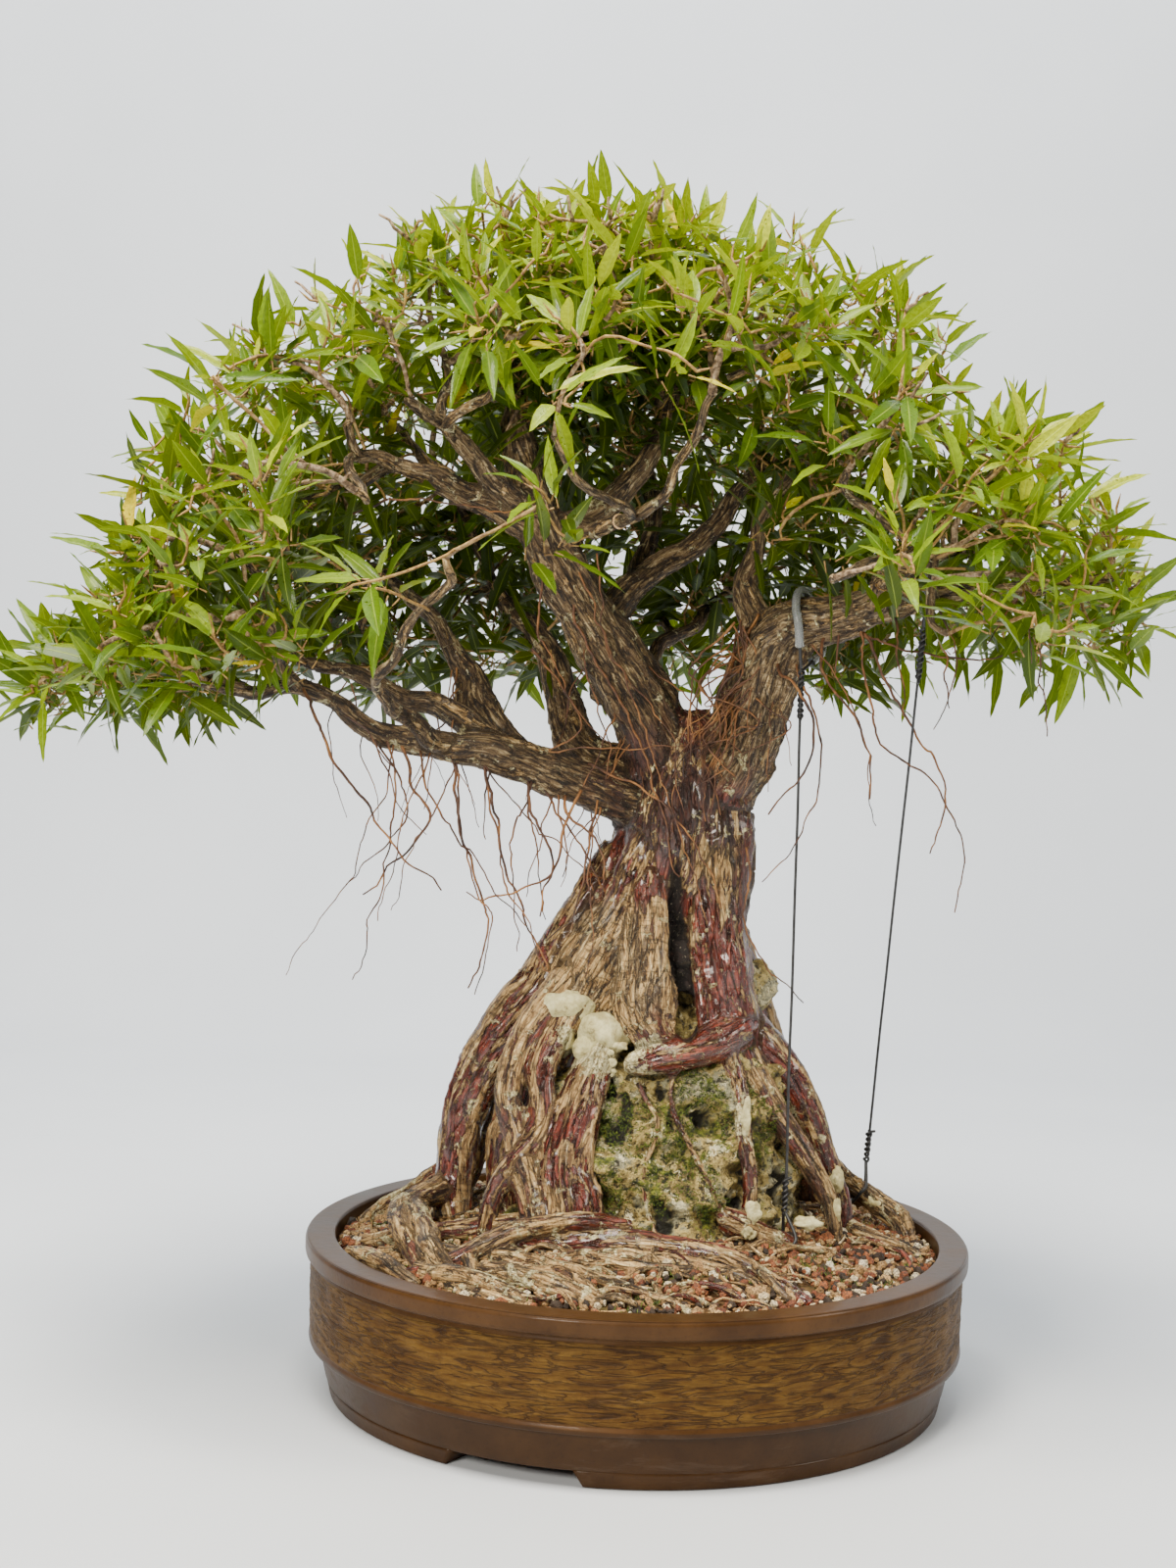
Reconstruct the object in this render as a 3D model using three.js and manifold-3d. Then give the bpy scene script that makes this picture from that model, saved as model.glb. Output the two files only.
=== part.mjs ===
// Willow leaf ficus bonsai: a root-over-rock tree in a round glazed pot.
// Millimetres, +Z up, -Y is the front. The origin lies under the middle of the
// tree's spread, on the surface that the pot stands on.

import * as THREE from 'three';
import { mergeVertices } from 'three/addons/utils/BufferGeometryUtils.js';
import Module from 'manifold-3d';

const wasm = await Module();
wasm.setup();

// Driving dimensions of the pot
const POT_AXIS_X = 32;
const POT_AXIS_Y = 8.5;
const POT_RADIUS = 200;
const POT_HEIGHT = 94;
const RIM_EDGE = 1.5;
const RIM_INNER_RADIUS = 182;
const POT_FLOOR = 18;
const FLOOR_RADIUS = 166;
const FLOOR_CURVE_RADIUS = 178.5;
const FLOOR_CURVE_HEIGHT = 12;
const POT_SEGMENTS = 30;
const SOIL_SEGMENTS = 24;
const BAND_TOP = 83;
const BAND_TOP_RADIUS = 197.2;
const BAND_BOTTOM = 36;
const BAND_BOTTOM_RADIUS = 196.5;
const LOWER_BAND_RADIUS = 192;
const LOWER_BAND_BOTTOM = 13;
const LOWER_BAND_BOTTOM_RADIUS = 187.5;
const FOOT_HEIGHT = 9;
const FOOT_TOP_RADIUS = 186;
const FOOT_OUTER_RADIUS = 184;
const FOOT_INNER_RADIUS = 163;
const FOOT_GAP_DEGREES = 22;
const FOOT_END_SLANT = 0.03;
const FOOT_GAP_AZIMUTHS = [-22, 98, 218];
const CUTTER_OVERRUN = 12;
const DRAIN_RADIUS = 14;
const DRAIN_X = 72;
const SCREEN_SIDE = 44;
const SCREEN_THICKNESS = 1;
const SCREEN_SLOT_LENGTH = 33;
const SCREEN_SLOT_WIDTH = 4.4;

// Driving dimensions of the soil
const SOIL_EDGE_HEIGHT = 86;
const SOIL_MOUND_HEIGHT = 102;
const SOIL_MOUND_RADIUS = 95;
const SOIL_RELIEF = 1.2;

// Driving dimensions of the crown: a dome on an oval plan with a sloping rim
const CROWN_X = -38;
const CROWN_Y = -12;
const CROWN_HALF_WIDTH = 350;
const CROWN_HALF_DEPTH = 268;
const CROWN_TOP = 738;
const CROWN_RIM_HEIGHT = 441;
const CROWN_RIM_SLOPE = 21;
const CROWN_ROUNDNESS = 1.65;
const CROWN_CORE = new THREE.Vector3(-30, -4, 430);
const CROWN_CORE_SHARE = 0.7;
const FRONT_OPENING = { x: -20, halfWidth: 120, back: -110, top: 610 };
const SPRAY_COUNT = 38;
const GOLDEN_ANGLE = Math.PI * (3 - Math.sqrt(5));

// Driving dimensions of the leaves
const LEAF_LENGTH = 47;
const LEAF_WIDTH = 12;
const LEAF_THICKNESS = 1.5;
const LEAF_FOLD = 0.28;
const LEAF_WIDEST = 0.38;
const LEAF_ARCH = 0.05;
const LEAF_DROOP = 0.15;
const TWIG_RADIUS = 1.6;
const TWIG_CLEARANCE = 0.8;
const TWIG_BEND_SHARE = 0.45;
const TWIG_TAPER = 0.2;
const BRANCH_START_RADIUS = 4.5;
const BRANCH_SHARE_OF_LIMB = 0.75;
const BRANCH_END_RADIUS = 2.2;
const BRANCH_LEAVING = 0.3;
const BRANCH_ARRIVING = 0.35;
const TURN_BACK_COST = 0.5;
const BRANCH_SHARES = [0, 0.4, 0.8, 1];
const STEM_ROOM_LENGTH = 30;
const STEM_ROOM_RADIUS = 5;
const LEAF_GREENS = [0x5f8a2c, 0x6f9a34, 0x55802a];

// Driving dimensions of the guy wires
const WIRE_RADIUS = 1;
const TWIST_RADIUS = 1.9;
const SLEEVE_RADIUS = 2.6;
const SLEEVE_BORE = 1.6;
const STRAND_SPACING = 1.2;
const LOOP_TURNS = [60, 120, 180, 240, 300];
const LOOP_ROOM = 18;

// Clearance between touching pieces
const GAP = 0.35;

// Solids and frames

function solid(positions, triangles) {
  const mesh = new wasm.Mesh({
    numProp: 3,
    vertProperties: new Float32Array(positions),
    triVerts: new Uint32Array(triangles),
  });
  return new wasm.Manifold(mesh);
}

function solidOf(geometry) {
  const bare = geometry.clone();
  bare.deleteAttribute('normal');
  bare.deleteAttribute('uv');
  const merged = mergeVertices(bare, 1e-4);
  const index = Array.from(merged.index.array);
  const triangles = [];
  for (let k = 0; k < index.length; k += 3) {
    const [a, b, c] = index.slice(k, k + 3);
    if (a !== b && b !== c && c !== a) triangles.push(a, b, c);
  }
  return solid(merged.attributes.position.array, triangles);
}

function pointOf([x, y, z]) {
  return new THREE.Vector3(x, y, z);
}

function joined(solids) {
  return solids.reduce((whole, piece) => whole.add(piece));
}

function largestBody(whole) {
  const bodies = whole.decompose();
  return bodies.reduce((best, body) => (body.volume() > best.volume() ? body : best));
}

function meshNode(name, whole, material) {
  const { vertProperties, triVerts } = whole.getMesh();
  const geometry = new THREE.BufferGeometry();
  geometry.setAttribute('position', new THREE.BufferAttribute(vertProperties, 3));
  geometry.setIndex(new THREE.BufferAttribute(triVerts, 1));
  geometry.computeVertexNormals();
  const mesh = new THREE.Mesh(geometry, material);
  mesh.name = name;
  return mesh;
}

// A skin over a row of rings with the same number of points, closed by flat ends
function loft(rings) {
  const sides = rings[0].length;
  const positions = rings.flat().flatMap((point) => [point.x, point.y, point.z]);
  const triangles = [];
  for (let k = 0; k + 1 < rings.length; k += 1) {
    for (let i = 0; i < sides; i += 1) {
      const a = k * sides + i;
      const b = k * sides + ((i + 1) % sides);
      triangles.push(a, b, b + sides);
      triangles.push(a, b + sides, a + sides);
    }
  }
  const last = (rings.length - 1) * sides;
  for (let i = 1; i + 1 < sides; i += 1) {
    triangles.push(0, i + 1, i);
    triangles.push(last, last + i, last + i + 1);
  }
  return solid(positions, triangles);
}

// A profile of [radius, height] points turned round the pot's axis
function turned(profile, segments = POT_SEGMENTS) {
  const points = profile.map(([radius, height]) => new THREE.Vector2(radius, height));
  return new THREE.LatheGeometry(points, segments).rotateX(Math.PI / 2);
}

function acrossFrom(direction) {
  const steep = Math.abs(direction.z) > 0.9;
  return new THREE.Vector3(0, steep ? 1 : 0, steep ? 0 : 1).cross(direction).normalize();
}

// Flutes run along a tube: count ridges round the girth, depth as a share of the
// radius, twist in turns
const NO_FLUTES = { count: 0, depth: 0, twist: 0 };

// A tapering tube along a route of [x, y, z, radius] points
function tube(route, { sides = 8, steps = route.length - 1, grow = 0, flutes = NO_FLUTES } = {}) {
  const curve = new THREE.CatmullRomCurve3(
    route.map(pointOf),
    false,
    'centripetal',
  );
  const rings = [];
  const growCorner = grow / Math.cos(Math.PI / sides);
  let across = null;
  let before = null;
  for (let k = 0; k <= steps; k += 1) {
    const t = k / steps;
    const place = t * (route.length - 1);
    const i = Math.min(Math.floor(place), route.length - 2);
    const radius = THREE.MathUtils.lerp(route[i][3], route[i + 1][3], place - i) + growCorner;
    const along = curve.getTangent(t);
    if (before) across.applyQuaternion(new THREE.Quaternion().setFromUnitVectors(before, along));
    else across = acrossFrom(along);
    before = along.clone();
    const beside = along.clone().cross(across);
    const centre = curve.getPoint(t);
    if (k === 0) centre.addScaledVector(along, -grow);
    if (k === steps) centre.addScaledVector(along, grow);
    const ring = [];
    for (let j = 0; j < sides; j += 1) {
      const angle = (j / sides) * 2 * Math.PI;
      const ridge = Math.sin(flutes.count * angle + flutes.twist * t * 2 * Math.PI);
      const girth = radius * (1 + flutes.depth * ridge);
      ring.push(
        centre
          .clone()
          .addScaledVector(across, girth * Math.cos(angle))
          .addScaledVector(beside, girth * Math.sin(angle)),
      );
    }
    rings.push(ring);
  }
  return loft(rings);
}

// Pot

const INNER_WALL = [
  [FLOOR_RADIUS, POT_FLOOR],
  [FLOOR_CURVE_RADIUS, POT_FLOOR + FLOOR_CURVE_HEIGHT],
  [RIM_INNER_RADIUS, POT_HEIGHT - 1],
];

function onPot(radius, angle, z) {
  return new THREE.Vector3(radius * Math.cos(angle), radius * Math.sin(angle), z);
}

// The gap between two feet, a little narrower at its top
function footGapCutter(azimuth) {
  const facing = THREE.MathUtils.degToRad(azimuth - 90);
  const halfTop = THREE.MathUtils.degToRad(FOOT_GAP_DEGREES / 2);
  const halfBottom = halfTop + FOOT_END_SLANT;
  const gapTop = FOOT_HEIGHT - 0.2;
  const corners = [[-halfBottom, -1], [halfBottom, -1], [halfTop, gapTop], [-halfTop, gapTop]];
  const ring = (radius) => corners.map(([turn, z]) => onPot(radius, facing + turn, z));
  return loft([ring(FOOT_INNER_RADIUS - CUTTER_OVERRUN), ring(FOOT_OUTER_RADIUS + CUTTER_OVERRUN)]);
}

function makePot() {
  const outside = [
    [0, FOOT_HEIGHT],
    [FOOT_INNER_RADIUS, FOOT_HEIGHT],
    [FOOT_INNER_RADIUS, 0],
    [FOOT_OUTER_RADIUS, 0],
    [FOOT_TOP_RADIUS, FOOT_HEIGHT],
    [LOWER_BAND_BOTTOM_RADIUS, LOWER_BAND_BOTTOM],
    [LOWER_BAND_RADIUS, BAND_BOTTOM - 5],
    [BAND_BOTTOM_RADIUS, BAND_BOTTOM - 4],
    [BAND_BOTTOM_RADIUS, BAND_BOTTOM],
    [BAND_TOP_RADIUS, BAND_TOP],
    [POT_RADIUS, BAND_TOP + 2],
    [POT_RADIUS, POT_HEIGHT - RIM_EDGE],
    [POT_RADIUS - RIM_EDGE, POT_HEIGHT],
    [RIM_INNER_RADIUS + 1, POT_HEIGHT],
  ];
  const inside = [...INNER_WALL].reverse();
  const bowl = solidOf(turned([...outside, ...inside, [0, POT_FLOOR]]));
  const drain = new THREE.CylinderGeometry(DRAIN_RADIUS, DRAIN_RADIUS, 3 * POT_FLOOR, 12);
  drain.rotateX(Math.PI / 2).translate(0, 0, POT_FLOOR / 2);
  const drains = [-DRAIN_X, DRAIN_X].map((x) => solidOf(drain.clone().translate(x, 0, 0)));
  const cutters = [...FOOT_GAP_AZIMUTHS.map(footGapCutter), ...drains];
  return cutters.reduce((whole, cutter) => whole.subtract(cutter), bowl);
}

// A square screen with three slots, flat on the pot's floor
function makeScreen(x, grow = 0) {
  const side = SCREEN_SIDE + 2 * grow;
  const plate = new THREE.BoxGeometry(side, side, SCREEN_THICKNESS + 2 * grow);
  const screen = solidOf(plate.translate(x, 0, POT_FLOOR + GAP + SCREEN_THICKNESS / 2));
  if (grow > 0) return screen;
  const pitch = SCREEN_SIDE / 4;
  const slot = new THREE.BoxGeometry(SCREEN_SLOT_LENGTH, SCREEN_SLOT_WIDTH, 10 * SCREEN_THICKNESS);
  const slots = [-pitch, 0, pitch].map((y) => solidOf(slot.clone().translate(x, y, POT_FLOOR)));
  return screen.subtract(joined(slots));
}

// Rock: oval levels of [height, half width, half depth] with a wandering axis

const ROCK_LEVELS = [
  [74, 88, 76],
  [100, 94, 80],
  [130, 91, 77],
  [160, 85, 72],
  [190, 75, 62],
  [220, 58, 48],
  [250, 38, 34],
  [286, 12, 11],
];
const ROCK_X = 5;
const ROCK_Y = 12;
const ROCK_LEAN = 0.07;
const ROCK_SIDES = 13;
const ROCK_KNOBS = 0.028;
const ROCK_LEVEL_WAVE = 2.5;
const ROCK_SHOULDER = { x: 68, y: 32, z: 241, radius: 16 };

function rockLevel(z) {
  const top = ROCK_LEVELS.length - 1;
  let k = 0;
  while (k < top - 1 && z > ROCK_LEVELS[k + 1][0]) k += 1;
  const [lowZ, lowWidth, lowDepth] = ROCK_LEVELS[k];
  const [highZ, highWidth, highDepth] = ROCK_LEVELS[k + 1];
  const share = (z - lowZ) / (highZ - lowZ);
  const lean = ROCK_LEAN * (z - ROCK_LEVELS[0][0]);
  return {
    x: ROCK_X + lean,
    y: ROCK_Y + 0.5 * lean,
    width: THREE.MathUtils.lerp(lowWidth, highWidth, share),
    depth: THREE.MathUtils.lerp(lowDepth, highDepth, share),
  };
}

// Points that lie on the rock's front (side -1) or back (side 1), half sunk in it
function onRock(side, points) {
  return points.map(([x, z, radius]) => {
    const level = rockLevel(z);
    const share = Math.min(Math.abs((x - level.x) / level.width), 0.96);
    const depth = level.depth * Math.sqrt(1 - share * share);
    return [x, level.y + side * (depth + 0.3 * radius), z, radius];
  });
}

function makeRockBody(grow = 0) {
  const rings = [];
  for (let k = 0; k < ROCK_LEVELS.length; k += 1) {
    const z = ROCK_LEVELS[k][0];
    const level = rockLevel(z);
    const sink = k === 0 ? -grow : grow;
    const ring = [];
    for (let j = 0; j < ROCK_SIDES; j += 1) {
      const angle = (j / ROCK_SIDES) * 2 * Math.PI;
      const waves = [3 * angle + z * 0.05, 7 * angle - z * 0.11, 5 * angle + z * 0.21];
      const knobs = waves.reduce((sum, wave) => sum + Math.sin(wave), 0);
      const swell = 1 + ROCK_KNOBS * knobs;
      ring.push(
        new THREE.Vector3(
          level.x + (level.width * swell + 1.3 * grow) * Math.cos(angle),
          level.y + (level.depth * swell + 1.3 * grow) * Math.sin(angle),
          z + sink + ROCK_LEVEL_WAVE * Math.sin(4 * angle + k),
        ),
      );
    }
    rings.push(ring);
  }
  const { x, y, z, radius } = ROCK_SHOULDER;
  const shoulder = new THREE.OctahedronGeometry(radius, 1).translate(x, y, z);
  return loft(rings).add(solidOf(shoulder));
}

// Wood: every route is [x, y, z, radius] from its thick end to its thin end

const BARK_FLUTES = { count: 5, depth: 0.07, twist: 0.2 };
const ROOT_FLUTES = { count: 3, depth: 0.08, twist: 0.4 };

const TRUNK = [
  {
    sides: 10,
    flutes: BARK_FLUTES,
    route: [[28, 22, 380, 33], [26, 23, 352, 39], [25, 24, 322, 42], [20, 26, 285, 40]],
  },
  {
    sides: 9,
    flutes: BARK_FLUTES,
    steps: 4,
    route: [
      [10, 15, 325, 28], [-1, 12, 288, 30], [-18, 10, 254, 33], [-36, 8, 216, 29],
      [-62, 6, 160, 25], [-72, 4, 84, 20],
    ],
  },
  {
    sides: 9,
    flutes: ROOT_FLUTES,
    route: [
      [41, 8, 340, 22], [42, 0, 290, 20], [46, -6, 255, 20], [55, -9, 218, 18],
    ],
  },
  {
    sides: 5,
    steps: 3,
    route: [
      [4, 2, 318, 14], [4, -10, 284, 17], [3, -20, 254, 19], [2, -27, 234, 18], [8, -33, 218, 12],
      [19, -36, 209, 7],
    ],
  },
];

const ROOTS_OVER_ROCK = [
  {
    sides: 8,
    steps: 6,
    route: [
      [-10, 28, 320, 18], [-34, 26, 279, 19], [-57, 22, 243, 18], [-84, 18, 209, 17],
      [-103, 16, 175, 14.5], [-110, 12, 146, 12], [-113, 3, 108, 11.5], [-110, -4, 84, 8],
    ],
  },
  {
    sides: 7,
    route: [
      [-44, -6, 248, 12], [-71, -22, 211, 10], [-79, -34, 182, 9], [-72, -46, 154, 8],
      [-60, -62, 119, 9], [-54, -72, 84, 7],
    ],
  },
  {
    sides: 6,
    route: [
      [-40, -14, 232, 10], [-58, -34, 198, 8], [-60, -48, 166, 7], [-84, -52, 128, 6],
      [-94, -60, 84, 5],
    ],
  },
  {
    route: [
      [-22, -24, 215, 12], [-36, -44, 176, 13.5], [-43, -56, 145, 14.5], [-38, -62, 113, 16],
      [-42, -70, 84, 11],
    ],
  },
  {
    sides: 7,
    route: [
      [50, -4, 228, 15], [82, 3, 200, 12.5], [101, 6, 170, 11.5], [113, 5, 138, 9.5],
      [123, 0, 112, 7.5], [127, -5, 84, 5],
    ],
  },
  {
    sides: 6,
    route: [
      [56, -14, 214, 10], [77, -20, 178, 9], [96, -22, 151, 7.5], [114, -26, 120, 6],
      [121, -30, 84, 4.5],
    ],
  },
  {
    sides: 7,
    route: [[58, -16, 220, 13], [36, -32, 211, 12.5], [12, -40, 206, 11], [-8, -41, 201, 7]],
  },
  {
    sides: 5,
    route: onRock(-1, [
      [50, 210, 6.5], [59, 185, 5.2], [61, 160, 5.2], [65, 133, 5.2], [63, 84, 3.5],
    ]),
  },
  {
    sides: 3,
    route: onRock(-1, [
      [21, 208, 2.6], [17, 182, 2.3], [27, 160, 2.3], [38, 140, 2.3], [48, 115, 2.2], [56, 88, 2],
    ]),
  },
  {
    sides: 6,
    steps: 3,
    route: onRock(1, [
      [22, 275, 18], [26, 235, 14], [30, 190, 12], [42, 140, 10], [56, 84, 8],
    ]),
  },
  {
    sides: 6,
    steps: 3,
    route: onRock(1, [
      [-5, 265, 18], [-26, 225, 14], [-42, 180, 12], [-46, 130, 10], [-66, 84, 7],
    ]),
  },
  {
    sides: 5,
    steps: 3,
    route: [
      [45, 34, 290, 16], [76, 50, 222, 11], [92, 62, 175, 10], [104, 72, 130, 9], [118, 86, 84, 6],
    ],
  },
  {
    sides: 5,
    steps: 3,
    route: [
      [-48, 26, 244, 15], [-80, 48, 195, 12], [-98, 64, 150, 10.5], [-106, 76, 112, 9],
      [-120, 92, 84, 6],
    ],
  },
];

const SURFACE_ROOTS = [
  {
    sides: 6,
    route: [
      [-116, 4, 118, 8.5], [-138, -25, 112, 8.5], [-136, -56, 105, 9], [-120, -94, 88, 7.5],
    ],
  },
  {
    sides: 5,
    steps: 4,
    route: [
      [-124, -92, 86, 5], [-100, -92, 99, 6], [-78, -86, 110, 6], [-58, -84, 116, 5.5],
      [-30, -86, 120, 4.5], [-4, -84, 117, 3],
    ],
  },
  {
    sides: 6,
    steps: 4,
    route: [
      [-104, -72, 92, 5], [-75, -76, 101, 7], [-41, -82, 105, 8], [-6, -87, 106, 7.5],
      [27, -94, 105, 7.5], [58, -108, 101, 6.5], [92, -140, 88, 4.5],
    ],
  },
  {
    sides: 4,
    steps: 3,
    route: [
      [-78, -84, 98, 6], [-51, -106, 97, 5], [-24, -125, 95, 4.5], [3, -141, 92, 3.5],
      [27, -158, 86, 2.5],
    ],
  },
  {
    sides: 5,
    route: [[-84, -86, 95, 6], [-62, -115, 95, 6.5], [-40, -127, 96, 7], [-16, -155, 86, 4]],
  },
  { sides: 4, route: [[-122, -92, 90, 6], [-90, -136, 90, 6], [-60, -156, 85, 4]] },
  {
    sides: 5,
    route: [[48, -56, 116, 7], [72, -60, 107, 7], [88, -55, 100, 7.5], [106, -60, 86, 5]],
  },
  {
    sides: 6,
    route: [
      [108, 8, 148, 8], [128, 38, 123, 6.5], [148, 35, 109, 8], [164, 26, 98, 7.5],
      [170, 14, 85, 4.5],
    ],
  },
  {
    sides: 4,
    steps: 3,
    route: [
      [-50, 76, 110, 9], [-14, 112, 102, 8.5], [34, 122, 99, 7.5], [80, 120, 86, 4],
    ],
  },
];

const LIMBS = [
  {
    sides: 6,
    steps: 7,
    route: [
      [8, 20, 346, 17], [-36, 2, 364, 14], [-69, -10, 376, 12.5], [-98, -20, 385, 10.5],
      [-126, -25, 390, 8.7], [-154, -30, 395, 7], [-182, -40, 408, 6], [-206, -50, 419, 5.2],
      [-236, -60, 418, 4], [-264, -70, 422, 3],
    ],
  },
  {
    sides: 4,
    route: [
      [-90, -16, 384, 9], [-118, -5, 408, 7], [-144, 0, 413, 6], [-172, -12, 423, 5.5],
      [-206, -30, 434, 4],
    ],
  },
  {
    sides: 5,
    route: [
      [-80, -8, 380, 12], [-104, 8, 408, 12.5], [-109, 12, 430, 9.5], [-124, 15, 448, 6],
      [-142, 24, 472, 5], [-166, 40, 492, 4],
    ],
  },
  {
    sides: 8,
    steps: 7,
    flutes: ROOT_FLUTES,
    route: [
      [18, 22, 362, 28], [2, 15, 402, 23], [-19, 10, 437, 20], [-38, 5, 466, 18], [-56, 0, 495, 17],
      [-68, 0, 519, 15], [-76, 5, 543, 12], [-83, 10, 573, 9.5], [-86, 16, 608, 7],
      [-88, 22, 636, 5],
    ],
  },
  {
    sides: 4,
    route: [
      [-66, 0, 514, 10], [-99, -12, 532, 8], [-122, -24, 542, 7], [-146, -38, 550, 5.5],
      [-174, -62, 552, 4],
    ],
  },
  {
    sides: 4,
    route: [
      [-72, -2, 526, 8], [-98, -28, 550, 6.5], [-121, -52, 570, 5], [-144, -86, 582, 3.5],
    ],
  },
  {
    sides: 5,
    steps: 4,
    route: [
      [-62, 0, 512, 10.5], [-40, 0, 528, 9], [-20, 4, 545, 7.5], [-8, 5, 570, 6], [2, 5, 596, 5],
      [16, 6, 624, 4],
    ],
  },
  { sides: 6, route: [[-48, 0, 519, 7], [-22, -36, 521, 4.5]] },
  {
    sides: 5,
    steps: 4,
    route: [
      [-34, 12, 458, 11], [-14, 38, 484, 8], [16, 46, 507, 7.5], [40, 52, 530, 7],
      [56, 62, 554, 5.5], [82, 72, 584, 4],
    ],
  },
  {
    sides: 5,
    route: [
      [-26, 24, 462, 9], [-2, 76, 509, 7], [2, 94, 546, 6.2], [-10, 104, 582, 5],
      [-22, 114, 614, 4],
    ],
  },
  {
    sides: 8,
    route: [
      [38, 16, 362, 27], [56, 6, 394, 23], [65, 0, 421, 20], [73, -5, 448, 19], [88, -12, 463, 16],
      [110, -22, 468, 13.5], [132, -32, 477, 11], [160, -41, 483, 8.6], [192, -50, 486, 6],
      [226, -60, 488, 4.8], [262, -70, 493, 3.4],
    ],
  },
  {
    sides: 4,
    route: [[106, -21, 469, 8], [133, -14, 487, 6], [161, -6, 500, 5], [194, 8, 512, 3.5]],
  },
  {
    sides: 5,
    route: [
      [72, -2, 450, 12], [59, 14, 484, 8], [66, 22, 514, 5.5], [79, 26, 547, 4.5],
      [95, 26, 582, 3.5],
    ],
  },
  {
    sides: 6,
    route: [
      [-6, 24, 366, 18], [-38, 44, 382, 15], [-52, 66, 412, 12], [-66, 88, 452, 8.5],
      [-94, 118, 482, 5],
    ],
  },
  {
    sides: 4,
    route: [[-30, 20, 420, 8], [-6, 64, 432, 6.5], [16, 96, 458, 5], [46, 130, 486, 3.8]],
  },
  { sides: 4, route: [[118, -26, 472, 8], [136, -66, 486, 6], [150, -110, 500, 4.2]] },
  { sides: 4, route: [[-118, -22, 388, 7], [-140, -62, 402, 5.5], [-154, -108, 418, 4]] },
];

const AERIAL_ROOT_RADII = [1.3, 1.1, 1, 0.9, 0.8, 0.7];
const AERIAL_ROOTS = [
  [[-204, -50, 420], [-192, -62, 398], [-176, -64, 366], [-146, -62, 330], [-118, -62, 302]],
  [[-150, -30, 394], [-140, -38, 366], [-128, -40, 345], [-150, -42, 318], [-168, -44, 298]],
  [[-118, -22, 388], [-114, -30, 352], [-102, -34, 310], [-94, -36, 276], [-105, -36, 244]],
  [[-98, -20, 384], [-92, -24, 356], [-80, -26, 306], [-58, -28, 258]],
  [[-72, -10, 374], [-68, -24, 352], [-58, -30, 320], [-62, -30, 286]],
  [[-52, -4, 368], [-44, -22, 346], [-30, -34, 330], [-26, -36, 300]],
  [[118, -24, 470], [136, -36, 440], [158, -22, 400], [178, -20, 368], [172, -20, 330]],
  [[104, -20, 466], [98, -34, 436], [124, -38, 400], [132, -38, 362]],
  [[72, -14, 446], [84, -42, 428], [95, -46, 400], [88, -46, 372], [72, -44, 350]],
  [[-60, -14, 500], [-40, -14, 455], [-14, -14, 410], [4, -18, 366], [20, -22, 310]],
  [[60, -12, 430], [44, -24, 412], [34, -26, 396], [52, -30, 374]],
];

// Where each guy wire loops over a limb and round a root

const vec = (x, y, z) => new THREE.Vector3(x, y, z);
const WIRE_LEFT = {
  limb: vec(94, -14.7, 464.5),
  limbAxis: vec(22, -10, 6).normalize(),
  limbRadius: 20.8,
  top: vec(89, -27, 437),
  root: vec(86, -56, 101),
  rootAxis: vec(16, 4, -8).normalize(),
  rootRadius: 10.3,
  bottom: vec(85, -52, 119),
};
const WIRE_RIGHT = {
  limb: vec(160, -41, 483),
  limbAxis: vec(60, -18, 9).normalize(),
  limbRadius: 12.8,
  top: vec(158, -43, 463),
  root: vec(141, 37, 114),
  rootAxis: vec(20, -3, -14).normalize(),
  rootRadius: 10.4,
  bottom: vec(144, 38, 132),
};

// Crown: where the outer skin of the foliage lies for a given turn and tilt

function crownPoint(turn, tilt) {
  const spread = Math.pow(Math.sin(tilt), 2 / CROWN_ROUNDNESS);
  const lift = Math.pow(Math.cos(tilt), 2 / CROWN_ROUNDNESS);
  const rim = CROWN_RIM_HEIGHT + CROWN_RIM_SLOPE * spread * Math.cos(turn);
  return new THREE.Vector3(
    CROWN_X + CROWN_HALF_WIDTH * spread * Math.cos(turn),
    CROWN_Y + CROWN_HALF_DEPTH * spread * Math.sin(turn),
    rim + (CROWN_TOP - rim) * lift,
  );
}

// The front of the crown is open below its top, where the limbs show
function inFrontOpening({ x, y, z }) {
  const beside = Math.abs(x - FRONT_OPENING.x);
  return y < FRONT_OPENING.back && beside < FRONT_OPENING.halfWidth && z < FRONT_OPENING.top;
}

function sprayPlaces() {
  const places = [];
  for (let i = 0; places.length < SPRAY_COUNT; i += 1) {
    const share = (i + 0.5) / (SPRAY_COUNT + 4);
    const tip = crownPoint(i * GOLDEN_ANGLE, Math.acos(Math.max(1 - share, 0.02)));
    if (inFrontOpening(tip)) continue;
    const start = CROWN_CORE.clone().lerp(tip, CROWN_CORE_SHARE);
    places.push({ start, tip, outward: tip.clone().sub(start).normalize() });
  }
  return places;
}

// Every spray hangs on the branch that grows to it from the limb that suits it best
const clearOfLoops = ({ joint }) =>
  [WIRE_LEFT, WIRE_RIGHT].every(({ limb }) => limb.distanceTo(joint) > LOOP_ROOM);
const limbJoints = LIMBS.flatMap(({ route }) =>
  route.slice(1).map(([x, y, z, radius], k) => {
    const joint = new THREE.Vector3(x, y, z);
    const heading = joint.clone().sub(pointOf(route[k])).normalize();
    return { joint, heading, radius };
  }),
).filter(clearOfLoops);

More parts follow.
